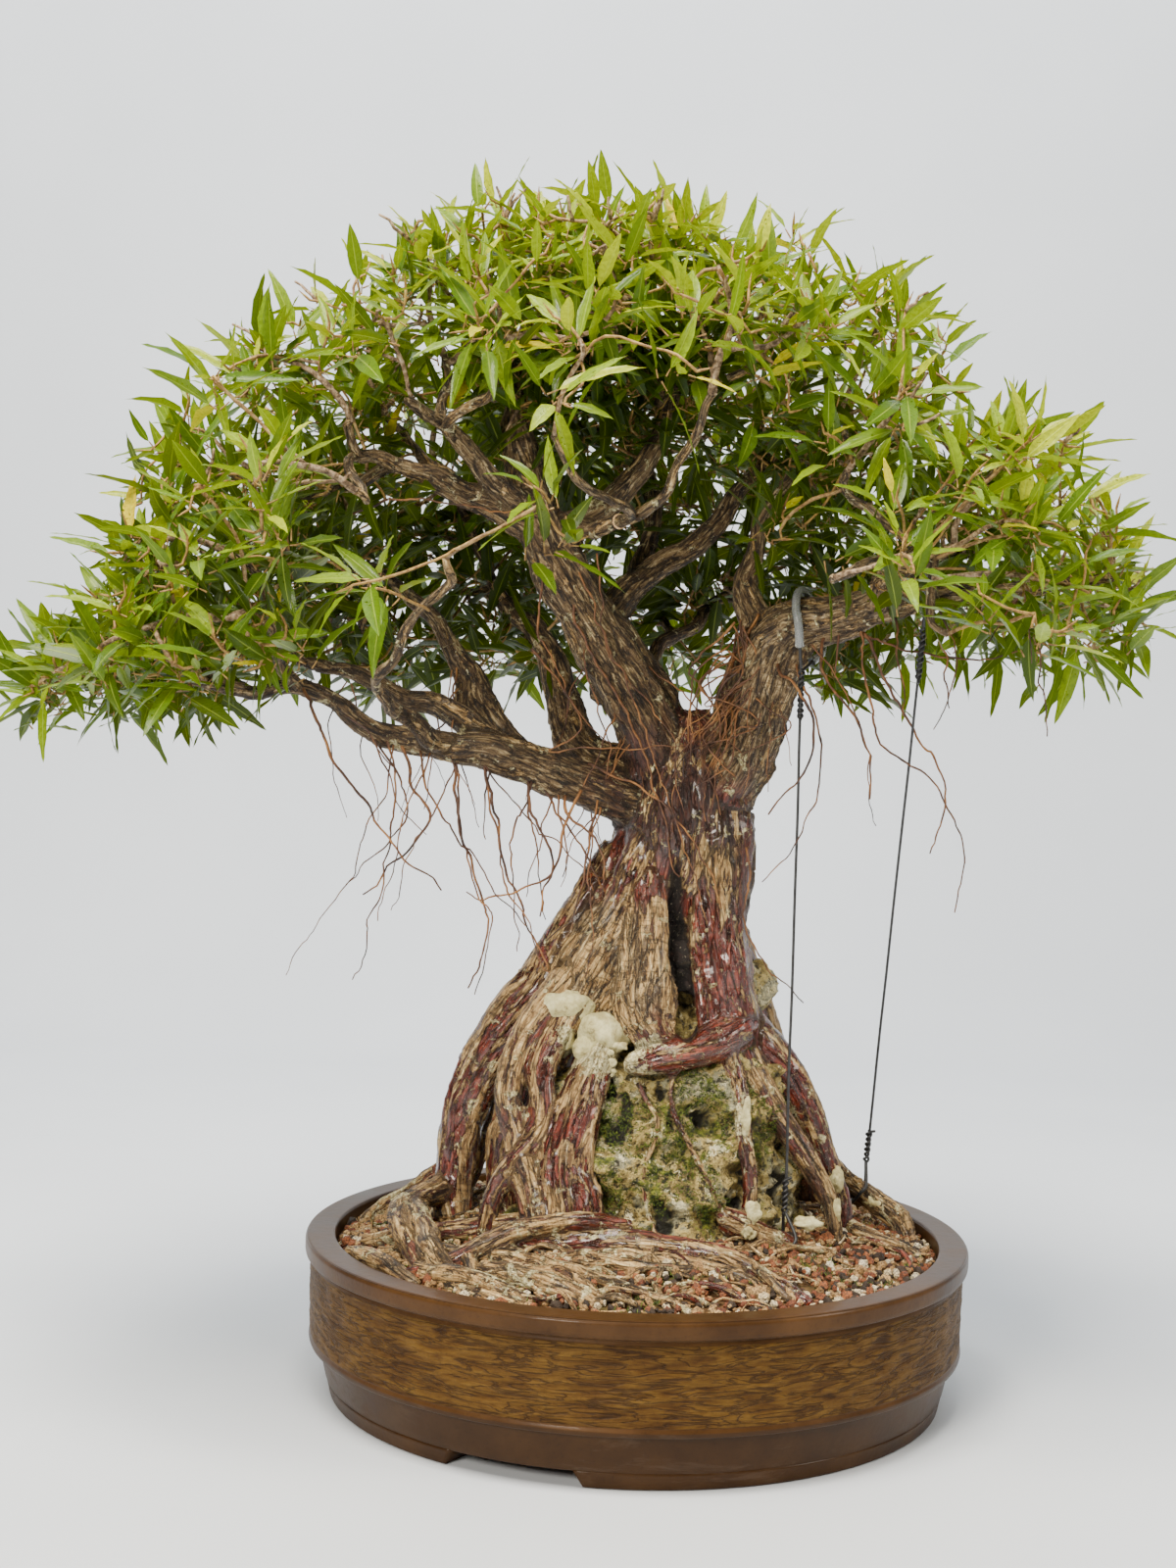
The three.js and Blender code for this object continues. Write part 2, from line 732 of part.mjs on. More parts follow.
function branchTo({ start, outward }) {
  const reach = ({ joint, heading }) => {
    const way = start.clone().sub(joint);
    const turnBack = 1 - way.clone().normalize().dot(heading);
    return way.length() * (1 + TURN_BACK_COST * turnBack);
  };
  const from = limbJoints.reduce((best, next) => (reach(next) < reach(best) ? next : best));
  const distance = from.joint.distanceTo(start);
  const curve = new THREE.CubicBezierCurve3(
    from.joint,
    from.joint.clone().addScaledVector(from.heading, BRANCH_LEAVING * distance),
    start.clone().addScaledVector(outward, -BRANCH_ARRIVING * distance),
    start,
  );
  const thick = Math.min(BRANCH_SHARE_OF_LIMB * from.radius, BRANCH_START_RADIUS);
  return BRANCH_SHARES.map((share) => {
    const { x, y, z } = curve.getPoint(share);
    return [x, y, z, THREE.MathUtils.lerp(thick, BRANCH_END_RADIUS, share)];
  });
}

// Leaves and twigs. A spray is one skin: leaves and side twigs grow out of small
// triangles left open in the sides of a three-sided twig.

const UP = new THREE.Vector3(0, 0, 1);

function boxOf(piece) {
  const { min, max } = piece.boundingBox();
  return new THREE.Box3(new THREE.Vector3(...min), new THREE.Vector3(...max));
}

function asObstacle(piece) {
  return { piece, box: boxOf(piece) };
}

function clearOf(piece, obstacles) {
  const box = boxOf(piece);
  const near = obstacles.filter((other) => other.box.intersectsBox(box));
  return near.every((other) => other.piece.intersect(piece).isEmpty());
}

function addPoints(skin, points) {
  const first = skin.points.length;
  skin.points.push(...points);
  return points.map((_, k) => first + k);
}

// Joins a blade's ring to the corners under it. Both faces split from edge to midrib.
function stitch(skin, [edge, top, farEdge, below], [ringEdge, ringTop, ringFarEdge, ringBelow]) {
  const triangles = [
    [edge, top, ringTop],
    [edge, ringTop, ringEdge],
    [top, farEdge, ringTop],
    [farEdge, ringFarEdge, ringTop],
    [farEdge, below, ringBelow],
    [farEdge, ringBelow, ringFarEdge],
    [below, edge, ringBelow],
    [edge, ringEdge, ringBelow],
  ];
  skin.triangles.push(...triangles.filter((corners) => new Set(corners).size === 3));
}

// Three corners round a heading: top, left and right below
function twigRing(centre, heading, lift, radius) {
  const across = lift.clone().cross(heading).normalize();
  const top = heading.clone().cross(across);
  return [90, 210, 330].map((degrees) => {
    const angle = THREE.MathUtils.degToRad(degrees);
    return centre
      .clone()
      .addScaledVector(across, radius * Math.cos(angle))
      .addScaledVector(top, radius * Math.sin(angle));
  });
}

// A folded blade with a hanging tip: right edge, fold top, left edge, fold underside, tip
function leafPoints({ base, heading, lift, size }, grow = 0) {
  const across = lift.clone().cross(heading).normalize();
  const top = heading.clone().cross(across);
  const length = size * LEAF_LENGTH;
  const half = (size * LEAF_WIDTH) / 2 + grow;
  const fold = LEAF_FOLD * half;
  const point = (along, side, height) => {
    const onRib = base.clone().addScaledVector(heading, along);
    return onRib.addScaledVector(across, side).addScaledVector(top, height);
  };
  const widest = LEAF_WIDEST * length;
  return [
    point(widest, half, LEAF_ARCH * length),
    point(widest, 0, LEAF_ARCH * length - fold + LEAF_THICKNESS / 2 + grow),
    point(widest, -half, LEAF_ARCH * length),
    point(widest, 0, LEAF_ARCH * length - fold - LEAF_THICKNESS / 2 - grow),
    point(length + grow, 0, -2 * LEAF_ARCH * length),
  ];
}

function growLeaf(skin, match, leaf, grow = 0) {
  const [right, top, left, below, tip] = addPoints(skin, leafPoints(leaf, grow));
  stitch(skin, match, [right, top, left, below]);
  skin.triangles.push([right, top, tip], [top, left, tip], [left, below, tip], [below, right, tip]);
}

// The leaf alone, a little larger, to see whether it is clear of the rest
function leafRoom(leaf) {
  const skin = { points: [], triangles: [] };
  const [top, left, right] = addPoints(skin, twigRing(leaf.base, leaf.heading, leaf.lift, TWIG_RADIUS));
  skin.triangles.push([top, right, left]);
  growLeaf(skin, [right, top, left, left], leaf, GAP);
  return solidOfSkin(skin);
}

function solidOfSkin(skin) {
  return solid(skin.points.flatMap(({ x, y, z }) => [x, y, z]), skin.triangles.flat());
}

function pointOn({ route, lifts }, share) {
  const place = share * (route.length - 1);
  const i = Math.min(Math.floor(place), route.length - 2);
  const low = pointOf(route[i]);
  const high = pointOf(route[i + 1]);
  return {
    point: low.clone().lerp(high, place - i),
    heading: high.clone().sub(low).normalize(),
    lift: lifts[i],
    radius: THREE.MathUtils.lerp(route[i][3], route[i + 1][3], place - i),
  };
}

// Which way is up on each of a twig's two chords, carried over its bend without a twist
function chordLifts([start, bend, end], lift, knownChord) {
  const ways = [pointOf(bend).sub(pointOf(start)), pointOf(end).sub(pointOf(bend))];
  const headings = ways.map((way) => way.normalize());
  const heading = headings[knownChord];
  const known = lift.clone().addScaledVector(heading, -lift.dot(heading)).normalize();
  const bending = new THREE.Quaternion().setFromUnitVectors(heading, headings[1 - knownChord]);
  const carried = known.clone().applyQuaternion(bending);
  return knownChord === 0 ? [known, carried] : [carried, known];
}

// The part of a twig that lies ahead of a bud, as an obstacle
function restOf(twig, share) {
  const start = pointOn(twig, Math.min(share + BUD_ROOM, 0.98));
  const ahead = twig.route.slice(share + BUD_ROOM < 0.5 ? 1 : 2);
  return asObstacle(tube([[...start.point.toArray(), start.radius], ...ahead], { sides: 4 }));
}

// A twig that leaves a point along a heading and bends to its end
function twigRoute(start, heading, end, radius) {
  const middle = start.clone().addScaledVector(heading, TWIG_BEND_SHARE * start.distanceTo(end));
  return [start, middle, end].map(({ x, y, z }, k) => [x, y, z, radius * (1 - TWIG_TAPER * k)]);
}

// A twig that meets something tries the next [swing, rise, share of its length]
const TWIG_TRIES = [
  [0, 0, 1], [0.3, 0, 1], [-0.3, 0, 1], [0, 0.3, 1], [0, -0.3, 1], [0.6, 0, 0.8], [-0.6, 0, 0.8],
  [0, 0, 0.5], [0.4, 0.4, 0.6], [-0.4, -0.4, 0.6], [0.4, -0.4, 0.6], [-0.4, 0.4, 0.6],
  [0, 0.6, 0.5], [0, -0.6, 0.5], [0.9, 0, 0.5], [-0.9, 0, 0.5],
];

function clearTwig(origin, heading, way, radius, flat, obstacles, knownChord) {
  for (const [swing, rise, share] of TWIG_TRIES) {
    const bent = way.clone().multiplyScalar(share).applyAxisAngle(flat, swing);
    bent.addScaledVector(flat, rise * way.length());
    const route = twigRoute(origin, heading, origin.clone().add(bent), radius);
    if (!clearOf(tube(route, { sides: 4 }), obstacles)) continue;
    const room = tube(route, { sides: 4, grow: TWIG_CLEARANCE });
    return { route, room, lifts: chordLifts(route, flat, knownChord) };
  }
  return null;
}

// Turns a leaf about its twig and its own rib until it is clear
const LEAF_TRIES = [
  [0, 0], [0.35, 0], [-0.25, 0], [0, 0.5], [0, -0.5], [0.35, 0.5], [-0.25, -0.5], [0.6, 0.3],
  [0.5, -0.4], [0.2, 0.9], [0.3, -0.9],
];

function clearLeaf({ point, heading, lift }, angle, size, obstacles) {
  for (const [swing, lean] of LEAF_TRIES) {
    const way = heading.clone().applyAxisAngle(lift, angle + (angle < 0 ? -swing : swing));
    way.addScaledVector(lift, 0.12 + 0.6 * lean).addScaledVector(UP, -LEAF_DROOP).normalize();
    const leaf = { base: point, heading: way, lift, size };
    const room = leafRoom(leaf);
    if (clearOf(room, obstacles)) return { leaf, room };
  }
  return null;
}

// Buds along a twig: share of its length, and the turn of what grows there.
// A turn above zero grows from the right side, one below zero from the left.
const MAIN_BUDS = [
  { share: 0.16, turn: -0.95, twig: 0.66 },
  { share: 0.36, turn: 0.9 },
  { share: 0.5, turn: 0.9, twig: 0.56 },
  { share: 0.78, turn: -0.8 },
];
const SIDE_BUDS = [
  { share: 0.42, turn: 0.85 },
  { share: 0.75, turn: -0.8 },
];
const LEFT_SIDE = 0;
const RIGHT_SIDE = 2;
const BUD_LENGTH = 2.4;
const BUD_ROOM = 0.15;

// Grows a twig's skin from a ring, then everything on it
function growTwig(skin, twig, firstRing) {
  const { buds, endLeaf } = twig;
  const ringAt = (share) => {
    const { point, heading, lift, radius } = pointOn(twig, share);
    return addPoints(skin, twigRing(point, heading, lift, radius));
  };
  const rings = [firstRing ?? ringAt(0), ...buds.map(({ share }) => ringAt(share)), ringAt(1)];
  rings.slice(0, -1).forEach((low, k) => {
    const high = rings[k + 1];
    const bud = buds[k - 1];
    const openSide = bud ? (bud.turn > 0 ? RIGHT_SIDE : LEFT_SIDE) : null;
    for (let side = 0; side < 3; side += 1) {
      const [a, b] = [low[side], low[(side + 1) % 3]];
      const [c, d] = [high[(side + 1) % 3], high[side]];
      if (side !== openSide) {
        skin.triangles.push([a, b, c], [a, c, d]);
        continue;
      }
      const middle = skin.points[a].clone().lerp(skin.points[b], 0.5);
      const ahead = skin.points[c].clone().lerp(skin.points[d], 0.5).sub(middle).setLength(BUD_LENGTH);
      const [crown] = addPoints(skin, [middle.add(ahead)]);
      skin.triangles.push([crown, b, c], [crown, c, d], [crown, d, a]);
      growBud(skin, bud, [a, b, crown], side);
    }
  });
  const [top, left, right] = rings[rings.length - 1];
  if (endLeaf) growLeaf(skin, [right, top, left, left], endLeaf);
  else skin.triangles.push([top, left, right]);
}

function growBud(skin, { leaf, grown }, [a, b, crown], side) {
  const onLeft = side === LEFT_SIDE;
  if (leaf) {
    growLeaf(skin, onLeft ? [crown, a, b, b] : [a, b, crown, a], leaf);
  } else if (grown) {
    growTwig(skin, grown, onLeft ? [a, b, crown] : [b, crown, a]);
  } else {
    skin.triangles.push([a, b, crown]);
  }
}

function makeSpray({ start, tip, outward, heading }, index, obstacles) {
  const reach = start.distanceTo(tip);
  const flat = outward.clone().cross(UP).cross(outward).negate().normalize();
  if (flat.z < 0) flat.negate();
  flat.applyAxisAngle(outward, 0.5 * ((index % 3) - 1));
  const from = start.clone().addScaledVector(heading, GAP);
  const way = outward.clone().multiplyScalar(reach - 0.8 * LEAF_LENGTH);
  const main = clearTwig(from, heading, way, TWIG_RADIUS, flat, obstacles, 1);
  if (!main) throw new Error(`spray ${index + 1} finds no clear place`);
  main.buds = MAIN_BUDS.map((bud) => ({ ...bud }));
  const rooms = [];
  const twigs = [main];
  for (const bud of main.buds.filter(({ twig }) => twig)) {
    const fork = pointOn(main, bud.share);
    const aside = fork.heading.clone().applyAxisAngle(fork.lift, bud.turn);
    const sideWay = aside.clone().multiplyScalar(bud.twig * reach);
    const sideTwigs = twigs.slice(1).map(({ room }) => asObstacle(room));
    const around = [...obstacles, restOf(main, bud.share), ...sideTwigs];
    const side = clearTwig(fork.point, aside, sideWay, 0.8 * TWIG_RADIUS, fork.lift, around, 0);
    if (!side) continue;
    const turnSign = Math.sign(bud.turn);
    side.buds = SIDE_BUDS.map(({ share, turn }) => ({ share, turn: turn * turnSign }));
    bud.grown = side;
    twigs.push(side);
  }
  const putLeaf = (twig, share, turn, size) => {
    const otherTwigs = twigs.filter((other) => other !== twig).map(({ room }) => asObstacle(room));
    const around = [...obstacles, ...otherTwigs, ...rooms];
    if (share < 1) around.push(restOf(twig, share));
    const found = clearLeaf(pointOn(twig, share), turn, size, around);
    if (!found) return null;
    rooms.push(asObstacle(found.room));
    return found.leaf;
  };
  twigs.forEach((twig, j) => {
    twig.buds.forEach((bud, k) => {
      const size = 0.9 + 0.06 * ((2 * k + j + index) % 4);
      if (!bud.twig) bud.leaf = putLeaf(twig, bud.share, bud.turn, size);
    });
    twig.endLeaf = putLeaf(twig, 1, 0, 1);
  });
  const skin = { points: [], triangles: [] };
  const base = pointOn(main, 0);
  const first = addPoints(skin, twigRing(from, base.heading, base.lift, TWIG_RADIUS));
  skin.triangles.push([first[0], first[2], first[1]]);
  growTwig(skin, main, first);
  return solidOfSkin(skin);
}

// Guy wires: a loop over a limb, a twist, a straight run, a twist and a loop round a root

// A drop-shaped loop round a centre: out of its apex, round, and back in beside itself
function loopRound(centre, axis, radius, apex) {
  const toApex = apex.clone().sub(centre);
  toApex.addScaledVector(axis, -toApex.dot(axis)).normalize();
  const beside = axis.clone().cross(toApex);
  const onCircle = (degrees) => {
    const angle = THREE.MathUtils.degToRad(degrees);
    return centre
      .clone()
      .addScaledVector(toApex, radius * Math.cos(angle))
      .addScaledVector(beside, radius * Math.sin(angle));
  };
  const atApex = (side) => apex.clone().addScaledVector(beside, side * STRAND_SPACING);
  return [atApex(1), ...LOOP_TURNS.map(onCircle), atApex(-1)];
}

function wireRoute(points, radius = WIRE_RADIUS) {
  return points.map(({ x, y, z }) => [x, y, z, radius]);
}

function makeWire({ limb, limbAxis, limbRadius, top, root, rootAxis, rootRadius, bottom }, grow = 0) {
  const topTwistEnd = top.clone().lerp(bottom, 0.09);
  const bottomTwistEnd = bottom.clone().lerp(top, 0.06);
  const upperLoop = loopRound(limb, limbAxis, limbRadius, top);
  const lowerLoop = loopRound(root, rootAxis, rootRadius, bottom);
  const twist = { sides: 4, steps: 4, grow, flutes: { count: 2, depth: 0.3, twist: 1.5 } };
  return joined([
    tube(wireRoute(upperLoop), { sides: 4, grow }),
    tube(wireRoute(lowerLoop), { sides: 4, grow }),
    tube(wireRoute([top, topTwistEnd], TWIST_RADIUS), twist),
    tube(wireRoute([bottomTwistEnd, bottom], TWIST_RADIUS), twist),
    tube(wireRoute([top, bottom]), { sides: 4, steps: 1, grow }),
  ]);
}

// The sleeve covers the loop from just above its apex on both sides
function makeSleeve({ limb, limbAxis, limbRadius, top }) {
  const loop = loopRound(limb, limbAxis, limbRadius, top);
  const covered = [
    loop[0].clone().lerp(loop[1], 0.5),
    ...loop.slice(1, -1),
    loop[loop.length - 1].clone().lerp(loop[loop.length - 2], 0.5),
  ];
  const skin = tube(wireRoute(covered, SLEEVE_RADIUS), { sides: 6 });
  return skin.subtract(tube(wireRoute(covered, SLEEVE_BORE), { sides: 6, grow: 0.01 }));
}

// Putty lumps on the bark, [x, y, z, half width, half depth, half height]
const PUTTY_UPPER = [-48, -14, 232, 14, 15, 11];
const PUTTY_LOWER = [-22, -24, 219, 13, 14, 12];

function makeLump([x, y, z, width, depth, height]) {
  return solidOf(new THREE.IcosahedronGeometry(1, 1).scale(width, depth, height).translate(x, y, z));
}

// Assembly

const places = sprayPlaces();
const branches = places.map((place) => ({ sides: 3, route: branchTo(place) }));
branches.forEach(({ route }, index) => {
  const [before, end] = route.slice(-2).map(pointOf);
  places[index].heading = end.sub(before).normalize();
});
const aerialRoots = AERIAL_ROOTS.map((points) => ({
  sides: 3,
  route: points.map(([x, y, z], k) => [x, y, z, AERIAL_ROOT_RADII[k]]),
}));
const lowWood = [...TRUNK, ...ROOTS_OVER_ROCK, ...SURFACE_ROOTS];
const highWood = [...LIMBS, ...branches, ...aerialRoots];
const asTube = (grow) => ({ route, ...shape }) => tube(route, { ...shape, grow });
const woodPieces = [...lowWood, ...highWood].map(asTube(0));
const wood = joined(woodPieces);
const woodRoom = joined(lowWood.map(asTube(GAP)));

const rock = largestBody(makeRockBody().subtract(woodRoom));
const rockRoom = makeRockBody(GAP);
const makePutty = (lump) => largestBody(makeLump(lump).subtract(woodRoom).subtract(rockRoom));

const wires = [WIRE_LEFT, WIRE_RIGHT].map((wire) => makeWire(wire));
const wireRoom = joined([WIRE_LEFT, WIRE_RIGHT].map((wire) => makeWire(wire, GAP)));
const sleeves = [WIRE_LEFT, WIRE_RIGHT].map(makeSleeve);

function soilHeight(radius) {
  const outer = RIM_INNER_RADIUS - SOIL_MOUND_RADIUS;
  const share = THREE.MathUtils.clamp((radius - SOIL_MOUND_RADIUS) / outer, 0, 1);
  return SOIL_MOUND_HEIGHT - (SOIL_MOUND_HEIGHT - SOIL_EDGE_HEIGHT) * share;
}

function makeSoil() {
  const flatShare = Math.cos(Math.PI / POT_SEGMENTS);
  const wall = INNER_WALL.slice(0, 2).map(([radius, z]) => [radius * flatShare - GAP, z + GAP]);
  const rimRadius = RIM_INNER_RADIUS * flatShare - 2 * GAP;
  const top = [rimRadius, SOIL_MOUND_RADIUS, 0].map((radius) => [radius, soilHeight(radius)]);
  const geometry = turned([[0, POT_FLOOR + GAP], ...wall, ...top], SOIL_SEGMENTS);
  const positions = geometry.attributes.position;
  for (let i = 0; i < positions.count; i += 1) {
    const [x, y, z] = [positions.getX(i), positions.getY(i), positions.getZ(i)];
    const inner = Math.hypot(x, y) < rimRadius - 1 && z > SOIL_EDGE_HEIGHT;
    if (inner) positions.setZ(i, z + SOIL_RELIEF * (Math.sin(x * 0.31) + Math.cos(y * 0.37)));
  }
  const screens = [-DRAIN_X, DRAIN_X].map((x) => makeScreen(x, GAP));
  const cut = joined([woodRoom, rockRoom, wireRoom, ...screens]);
  return largestBody(solidOf(geometry).subtract(cut));
}

function material(color, roughness) {
  return new THREE.MeshStandardMaterial({ color, roughness, metalness: 0 });
}

const bonsai = new THREE.Group();
bonsai.position.set(POT_AXIS_X, POT_AXIS_Y, 0);

bonsai.add(
  meshNode('pot', makePot(), material(0x4b3327, 0.42)),
  meshNode('drain_screen_left', makeScreen(-DRAIN_X), material(0x1c1d1c, 0.6)),
  meshNode('drain_screen_right', makeScreen(DRAIN_X), material(0x1c1d1c, 0.6)),
  meshNode('soil', makeSoil(), material(0x6a4a34, 0.95)),
  meshNode('rock', rock, material(0x77744f, 0.9)),
  meshNode('wood', wood, material(0x6b4a34, 0.6)),
  meshNode('putty_upper', makePutty(PUTTY_UPPER), material(0xc9c4a6, 0.85)),
  meshNode('putty_lower', makePutty(PUTTY_LOWER), material(0xc9c4a6, 0.85)),
  meshNode('guy_wire_left', wires[0], material(0x151516, 0.45)),
  meshNode('guy_wire_right', wires[1], material(0x151516, 0.45)),
  meshNode('sleeve_left', sleeves[0], material(0xc4cbc6, 0.2)),
  meshNode('sleeve_right', sleeves[1], material(0xc4cbc6, 0.2)),
);

// Each spray keeps the room in which its stem sets out
const stemRooms = places.map(({ start, heading }) => {
  const end = start.clone().addScaledVector(heading, STEM_ROOM_LENGTH);
  const route = [start, end].map((point) => [...point.toArray(), STEM_ROOM_RADIUS]);
  return asObstacle(tube(route, { sides: 4 }));
});
const obstacles = [...woodPieces, ...wires, ...sleeves].map(asObstacle);
places.forEach((place, index) => {
  const spray = makeSpray(place, index, [...obstacles, ...stemRooms.slice(index + 1)]);
  obstacles.push(asObstacle(spray));
  const name = `spray_${String(index + 1).padStart(2, '0')}`;
  bonsai.add(meshNode(name, spray, material(LEAF_GREENS[index % LEAF_GREENS.length], 0.4)));
});

export default bonsai;
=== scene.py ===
import math

import bmesh
import bpy
import numpy as np
from mathutils import Matrix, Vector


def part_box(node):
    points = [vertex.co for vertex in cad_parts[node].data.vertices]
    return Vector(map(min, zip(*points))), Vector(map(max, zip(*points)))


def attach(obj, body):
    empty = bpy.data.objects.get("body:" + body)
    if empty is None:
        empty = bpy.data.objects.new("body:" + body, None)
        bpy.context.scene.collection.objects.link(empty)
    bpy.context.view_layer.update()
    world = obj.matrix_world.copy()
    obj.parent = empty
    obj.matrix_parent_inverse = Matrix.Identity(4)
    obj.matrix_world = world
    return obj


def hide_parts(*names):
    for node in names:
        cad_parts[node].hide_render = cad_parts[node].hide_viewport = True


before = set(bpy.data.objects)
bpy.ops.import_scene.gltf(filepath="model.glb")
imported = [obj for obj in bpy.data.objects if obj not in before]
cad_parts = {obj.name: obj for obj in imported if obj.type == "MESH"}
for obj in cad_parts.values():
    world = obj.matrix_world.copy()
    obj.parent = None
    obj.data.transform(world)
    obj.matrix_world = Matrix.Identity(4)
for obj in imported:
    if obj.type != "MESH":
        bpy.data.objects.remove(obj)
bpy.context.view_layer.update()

rng = np.random.default_rng(41)

# Lengths below are millimetres in the pot's own frame: its axis is x = y = 0
pot_low, pot_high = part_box("pot")
POT_CENTRE = np.array([(pot_low.x + pot_high.x) / 2, (pot_low.y + pot_high.y) / 2, 0.0])
MM = 0.001
FULL_TURN = 2 * math.pi
UP = np.array([0, 0, 1.0])


# Numeric helpers

def unit(v):
    return v / np.maximum(np.linalg.norm(v, axis=-1, keepdims=True), 1e-9)


def smoothstep(low, high, x):
    t = np.clip((x - low) / (high - low), 0, 1)
    return t * t * (3 - 2 * t)


def lattice(ix, iy, iz, seed):
    """A number from 0 to 1 for each whole-number place, from an integer hash."""
    h = (ix * 73856093) ^ (iy * 19349663) ^ (iz * 83492791) ^ (seed * 2654435)
    h = (h ^ (h >> 13)) & 0x7FFFFFFF
    h = (h * 1274126177) & 0x7FFFFFFF
    h = (h ^ (h >> 15)) & 0x7FFFFFFF
    h = (h * 668265263) & 0x7FFFFFFF
    return ((h >> 7) & 0xFFFF) / 65535.0


def value_noise(p, seed=0):
    """Smooth noise from -1 to 1, with a cell of 1."""
    cell = np.floor(p).astype(np.int64)
    f = p - cell
    f = f * f * (3 - 2 * f)
    total = np.zeros(len(p))
    for dx in (0, 1):
        wx = f[:, 0] if dx else 1 - f[:, 0]
        for dy in (0, 1):
            wy = f[:, 1] if dy else 1 - f[:, 1]
            for dz in (0, 1):
                wz = f[:, 2] if dz else 1 - f[:, 2]
                total += wx * wy * wz * lattice(cell[:, 0] + dx, cell[:, 1] + dy, cell[:, 2] + dz, seed)
    return total * 2 - 1


def fractal(p, octaves=4, seed=0, gain=0.5, lacunarity=2.1):
    total = np.zeros(len(p))
    share, reach = 1.0, 0.0
    for k in range(octaves):
        total += share * value_noise(p * lacunarity ** k + 17.3 * k, seed + k)
        reach += share
        share *= gain
    return total / reach


def ridged(p, octaves=4, seed=0):
    """Noise with sharp crests, from -1 to 1."""
    total = np.zeros(len(p))
    share, reach = 1.0, 0.0
    for k in range(octaves):
        total += share * (1 - 2 * np.abs(value_noise(p * 2.1 ** k + 9.1 * k, seed + k)))
        reach += share
        share *= 0.5
    return total / reach


def wander(points, size, octaves, seed, step=1):
    """A noise vector for each point."""
    return np.stack([fractal(points * size, octaves, seed + step * k) for k in range(3)], 1)


def spline(route, step):
    """Catmull-Rom through rows of any width, sampled about every step millimetres."""
    route = np.asarray(route, float)
    rows = [route[0]]
    ext = np.vstack([2 * route[0] - route[1], route, 2 * route[-1] - route[-2]])
    for k in range(1, len(ext) - 2):
        a, b, c, d = ext[k - 1:k + 3]
        count = max(2, int(math.ceil(np.linalg.norm((c - b)[:3]) / step)))
        for t in np.arange(1, count + 1) / count:
            rows.append(0.5 * (2 * b + (c - a) * t + (2 * a - 5 * b + 4 * c - d) * t * t
                               + (3 * b - a - 3 * c + d) * t ** 3))
    return np.array(rows)


def arc_lengths(points):
    steps = np.linalg.norm(np.diff(points, axis=0), axis=1)
    return np.concatenate([[0], np.cumsum(steps)])


def frames_along(centres):
    """Tangents of a line, and two directions across it that don't twist."""
    tangents = unit(np.gradient(centres, axis=0))
    first = np.cross(tangents[0], [0.0, 0.0, 1.0])
    if np.linalg.norm(first) < 0.05:
        first = np.cross(tangents[0], [0.0, 1.0, 0.0])
    across = np.zeros_like(centres)
    across[0] = first / np.linalg.norm(first)
    for k in range(1, len(centres)):
        carried = across[k - 1] - tangents[k] * np.dot(across[k - 1], tangents[k])
        across[k] = carried / max(np.linalg.norm(carried), 1e-9)
    return tangents, across, np.cross(tangents, across)


# Mesh helpers

def grid_quads(rows, wide, closed=True):
    """Faces between rows of points that each hold wide points."""
    k, j = np.meshgrid(np.arange(rows - 1), np.arange(wide if closed else wide - 1), indexing="ij")
    a = (k * wide + j).ravel()
    b = (k * wide + (j + 1) % wide).ravel()
    return np.stack([a, b, b + wide, a + wide], 1)


def end_fans(rows, wide, low, high):
    """Fans that close the first ring round the point low and the last round the point high."""
    at = np.arange(wide)
    last = (rows - 1) * wide
    return [np.stack([np.full(wide, low), (at + 1) % wide, at], 1),
            np.stack([np.full(wide, high), last + at, last + (at + 1) % wide], 1)]


def rings_round(centres, across, beside, angle, size):
    """Points of rings round a line; size has a row for each ring."""
    ring = across[:, None, :] * np.cos(angle)[None, :, None]
    ring = ring + beside[:, None, :] * np.sin(angle)[None, :, None]
    return (centres[:, None, :] + ring * size[:, :, None]).reshape(-1, 3)


def ball_grid(steps):
    """Points of a unit ball, pole to pole."""
    u, v = np.meshgrid(np.arange(steps + 1) / steps * math.pi, np.arange(2 * steps) / steps * math.pi,
                       indexing="ij")
    return np.stack([np.sin(u) * np.cos(v), np.sin(u) * np.sin(v), np.cos(u)], -1).reshape(-1, 3)


def ball_quads(steps):
    return grid_quads(steps + 1, 2 * steps)[:, [0, 3, 2, 1]]


class Skin:
    """Points, faces and point attributes that gather into one mesh."""

    def __init__(self):
        self.points, self.groups, self.values, self.count = [], {3: [], 4: []}, {}, 0

    def add(self, points, faces, **values):
        for rows in faces:
            rows = np.asarray(rows, int)
            if len(rows):
                self.groups[rows.shape[1]].append(rows + self.count)
        self.points.append(np.asarray(points, float))
        for key, value in values.items():
            value = np.asarray(value, float)
            if value.ndim == 0 or (value.ndim == 1 and len(value) != len(points)):
                value = np.broadcast_to(value, (len(points),) + value.shape)
            self.values.setdefault(key, []).append(value)
        self.count += len(points)

    def tube(self, centres, radii, sides, ends=True, girth=None, **values):
        tangents, across, beside = frames_along(centres)
        angle = np.arange(sides) / sides * FULL_TURN
        radii = np.asarray(radii, float).reshape(-1, 1)
        size = radii
        if girth is not None:
            size = radii * girth(angle[None, :], np.linspace(0, 1, len(centres))[:, None])
        size = np.broadcast_to(size, (len(centres), sides))
        points = rings_round(centres, across, beside, angle, size)
        faces = [grid_quads(len(centres), sides)]
        if ends:
            faces += end_fans(len(centres), sides, len(points), len(points) + 1)
            points = np.vstack([points, centres[0], centres[-1] + tangents[-1] * radii[-1] * 0.6])
        self.add(points, faces, **values)

    def arrays(self):
        groups = [np.vstack(rows) for rows in self.groups.values() if rows]
        values = {key: np.concatenate(rows) for key, rows in self.values.items()}
        return np.vstack(self.points), groups, values


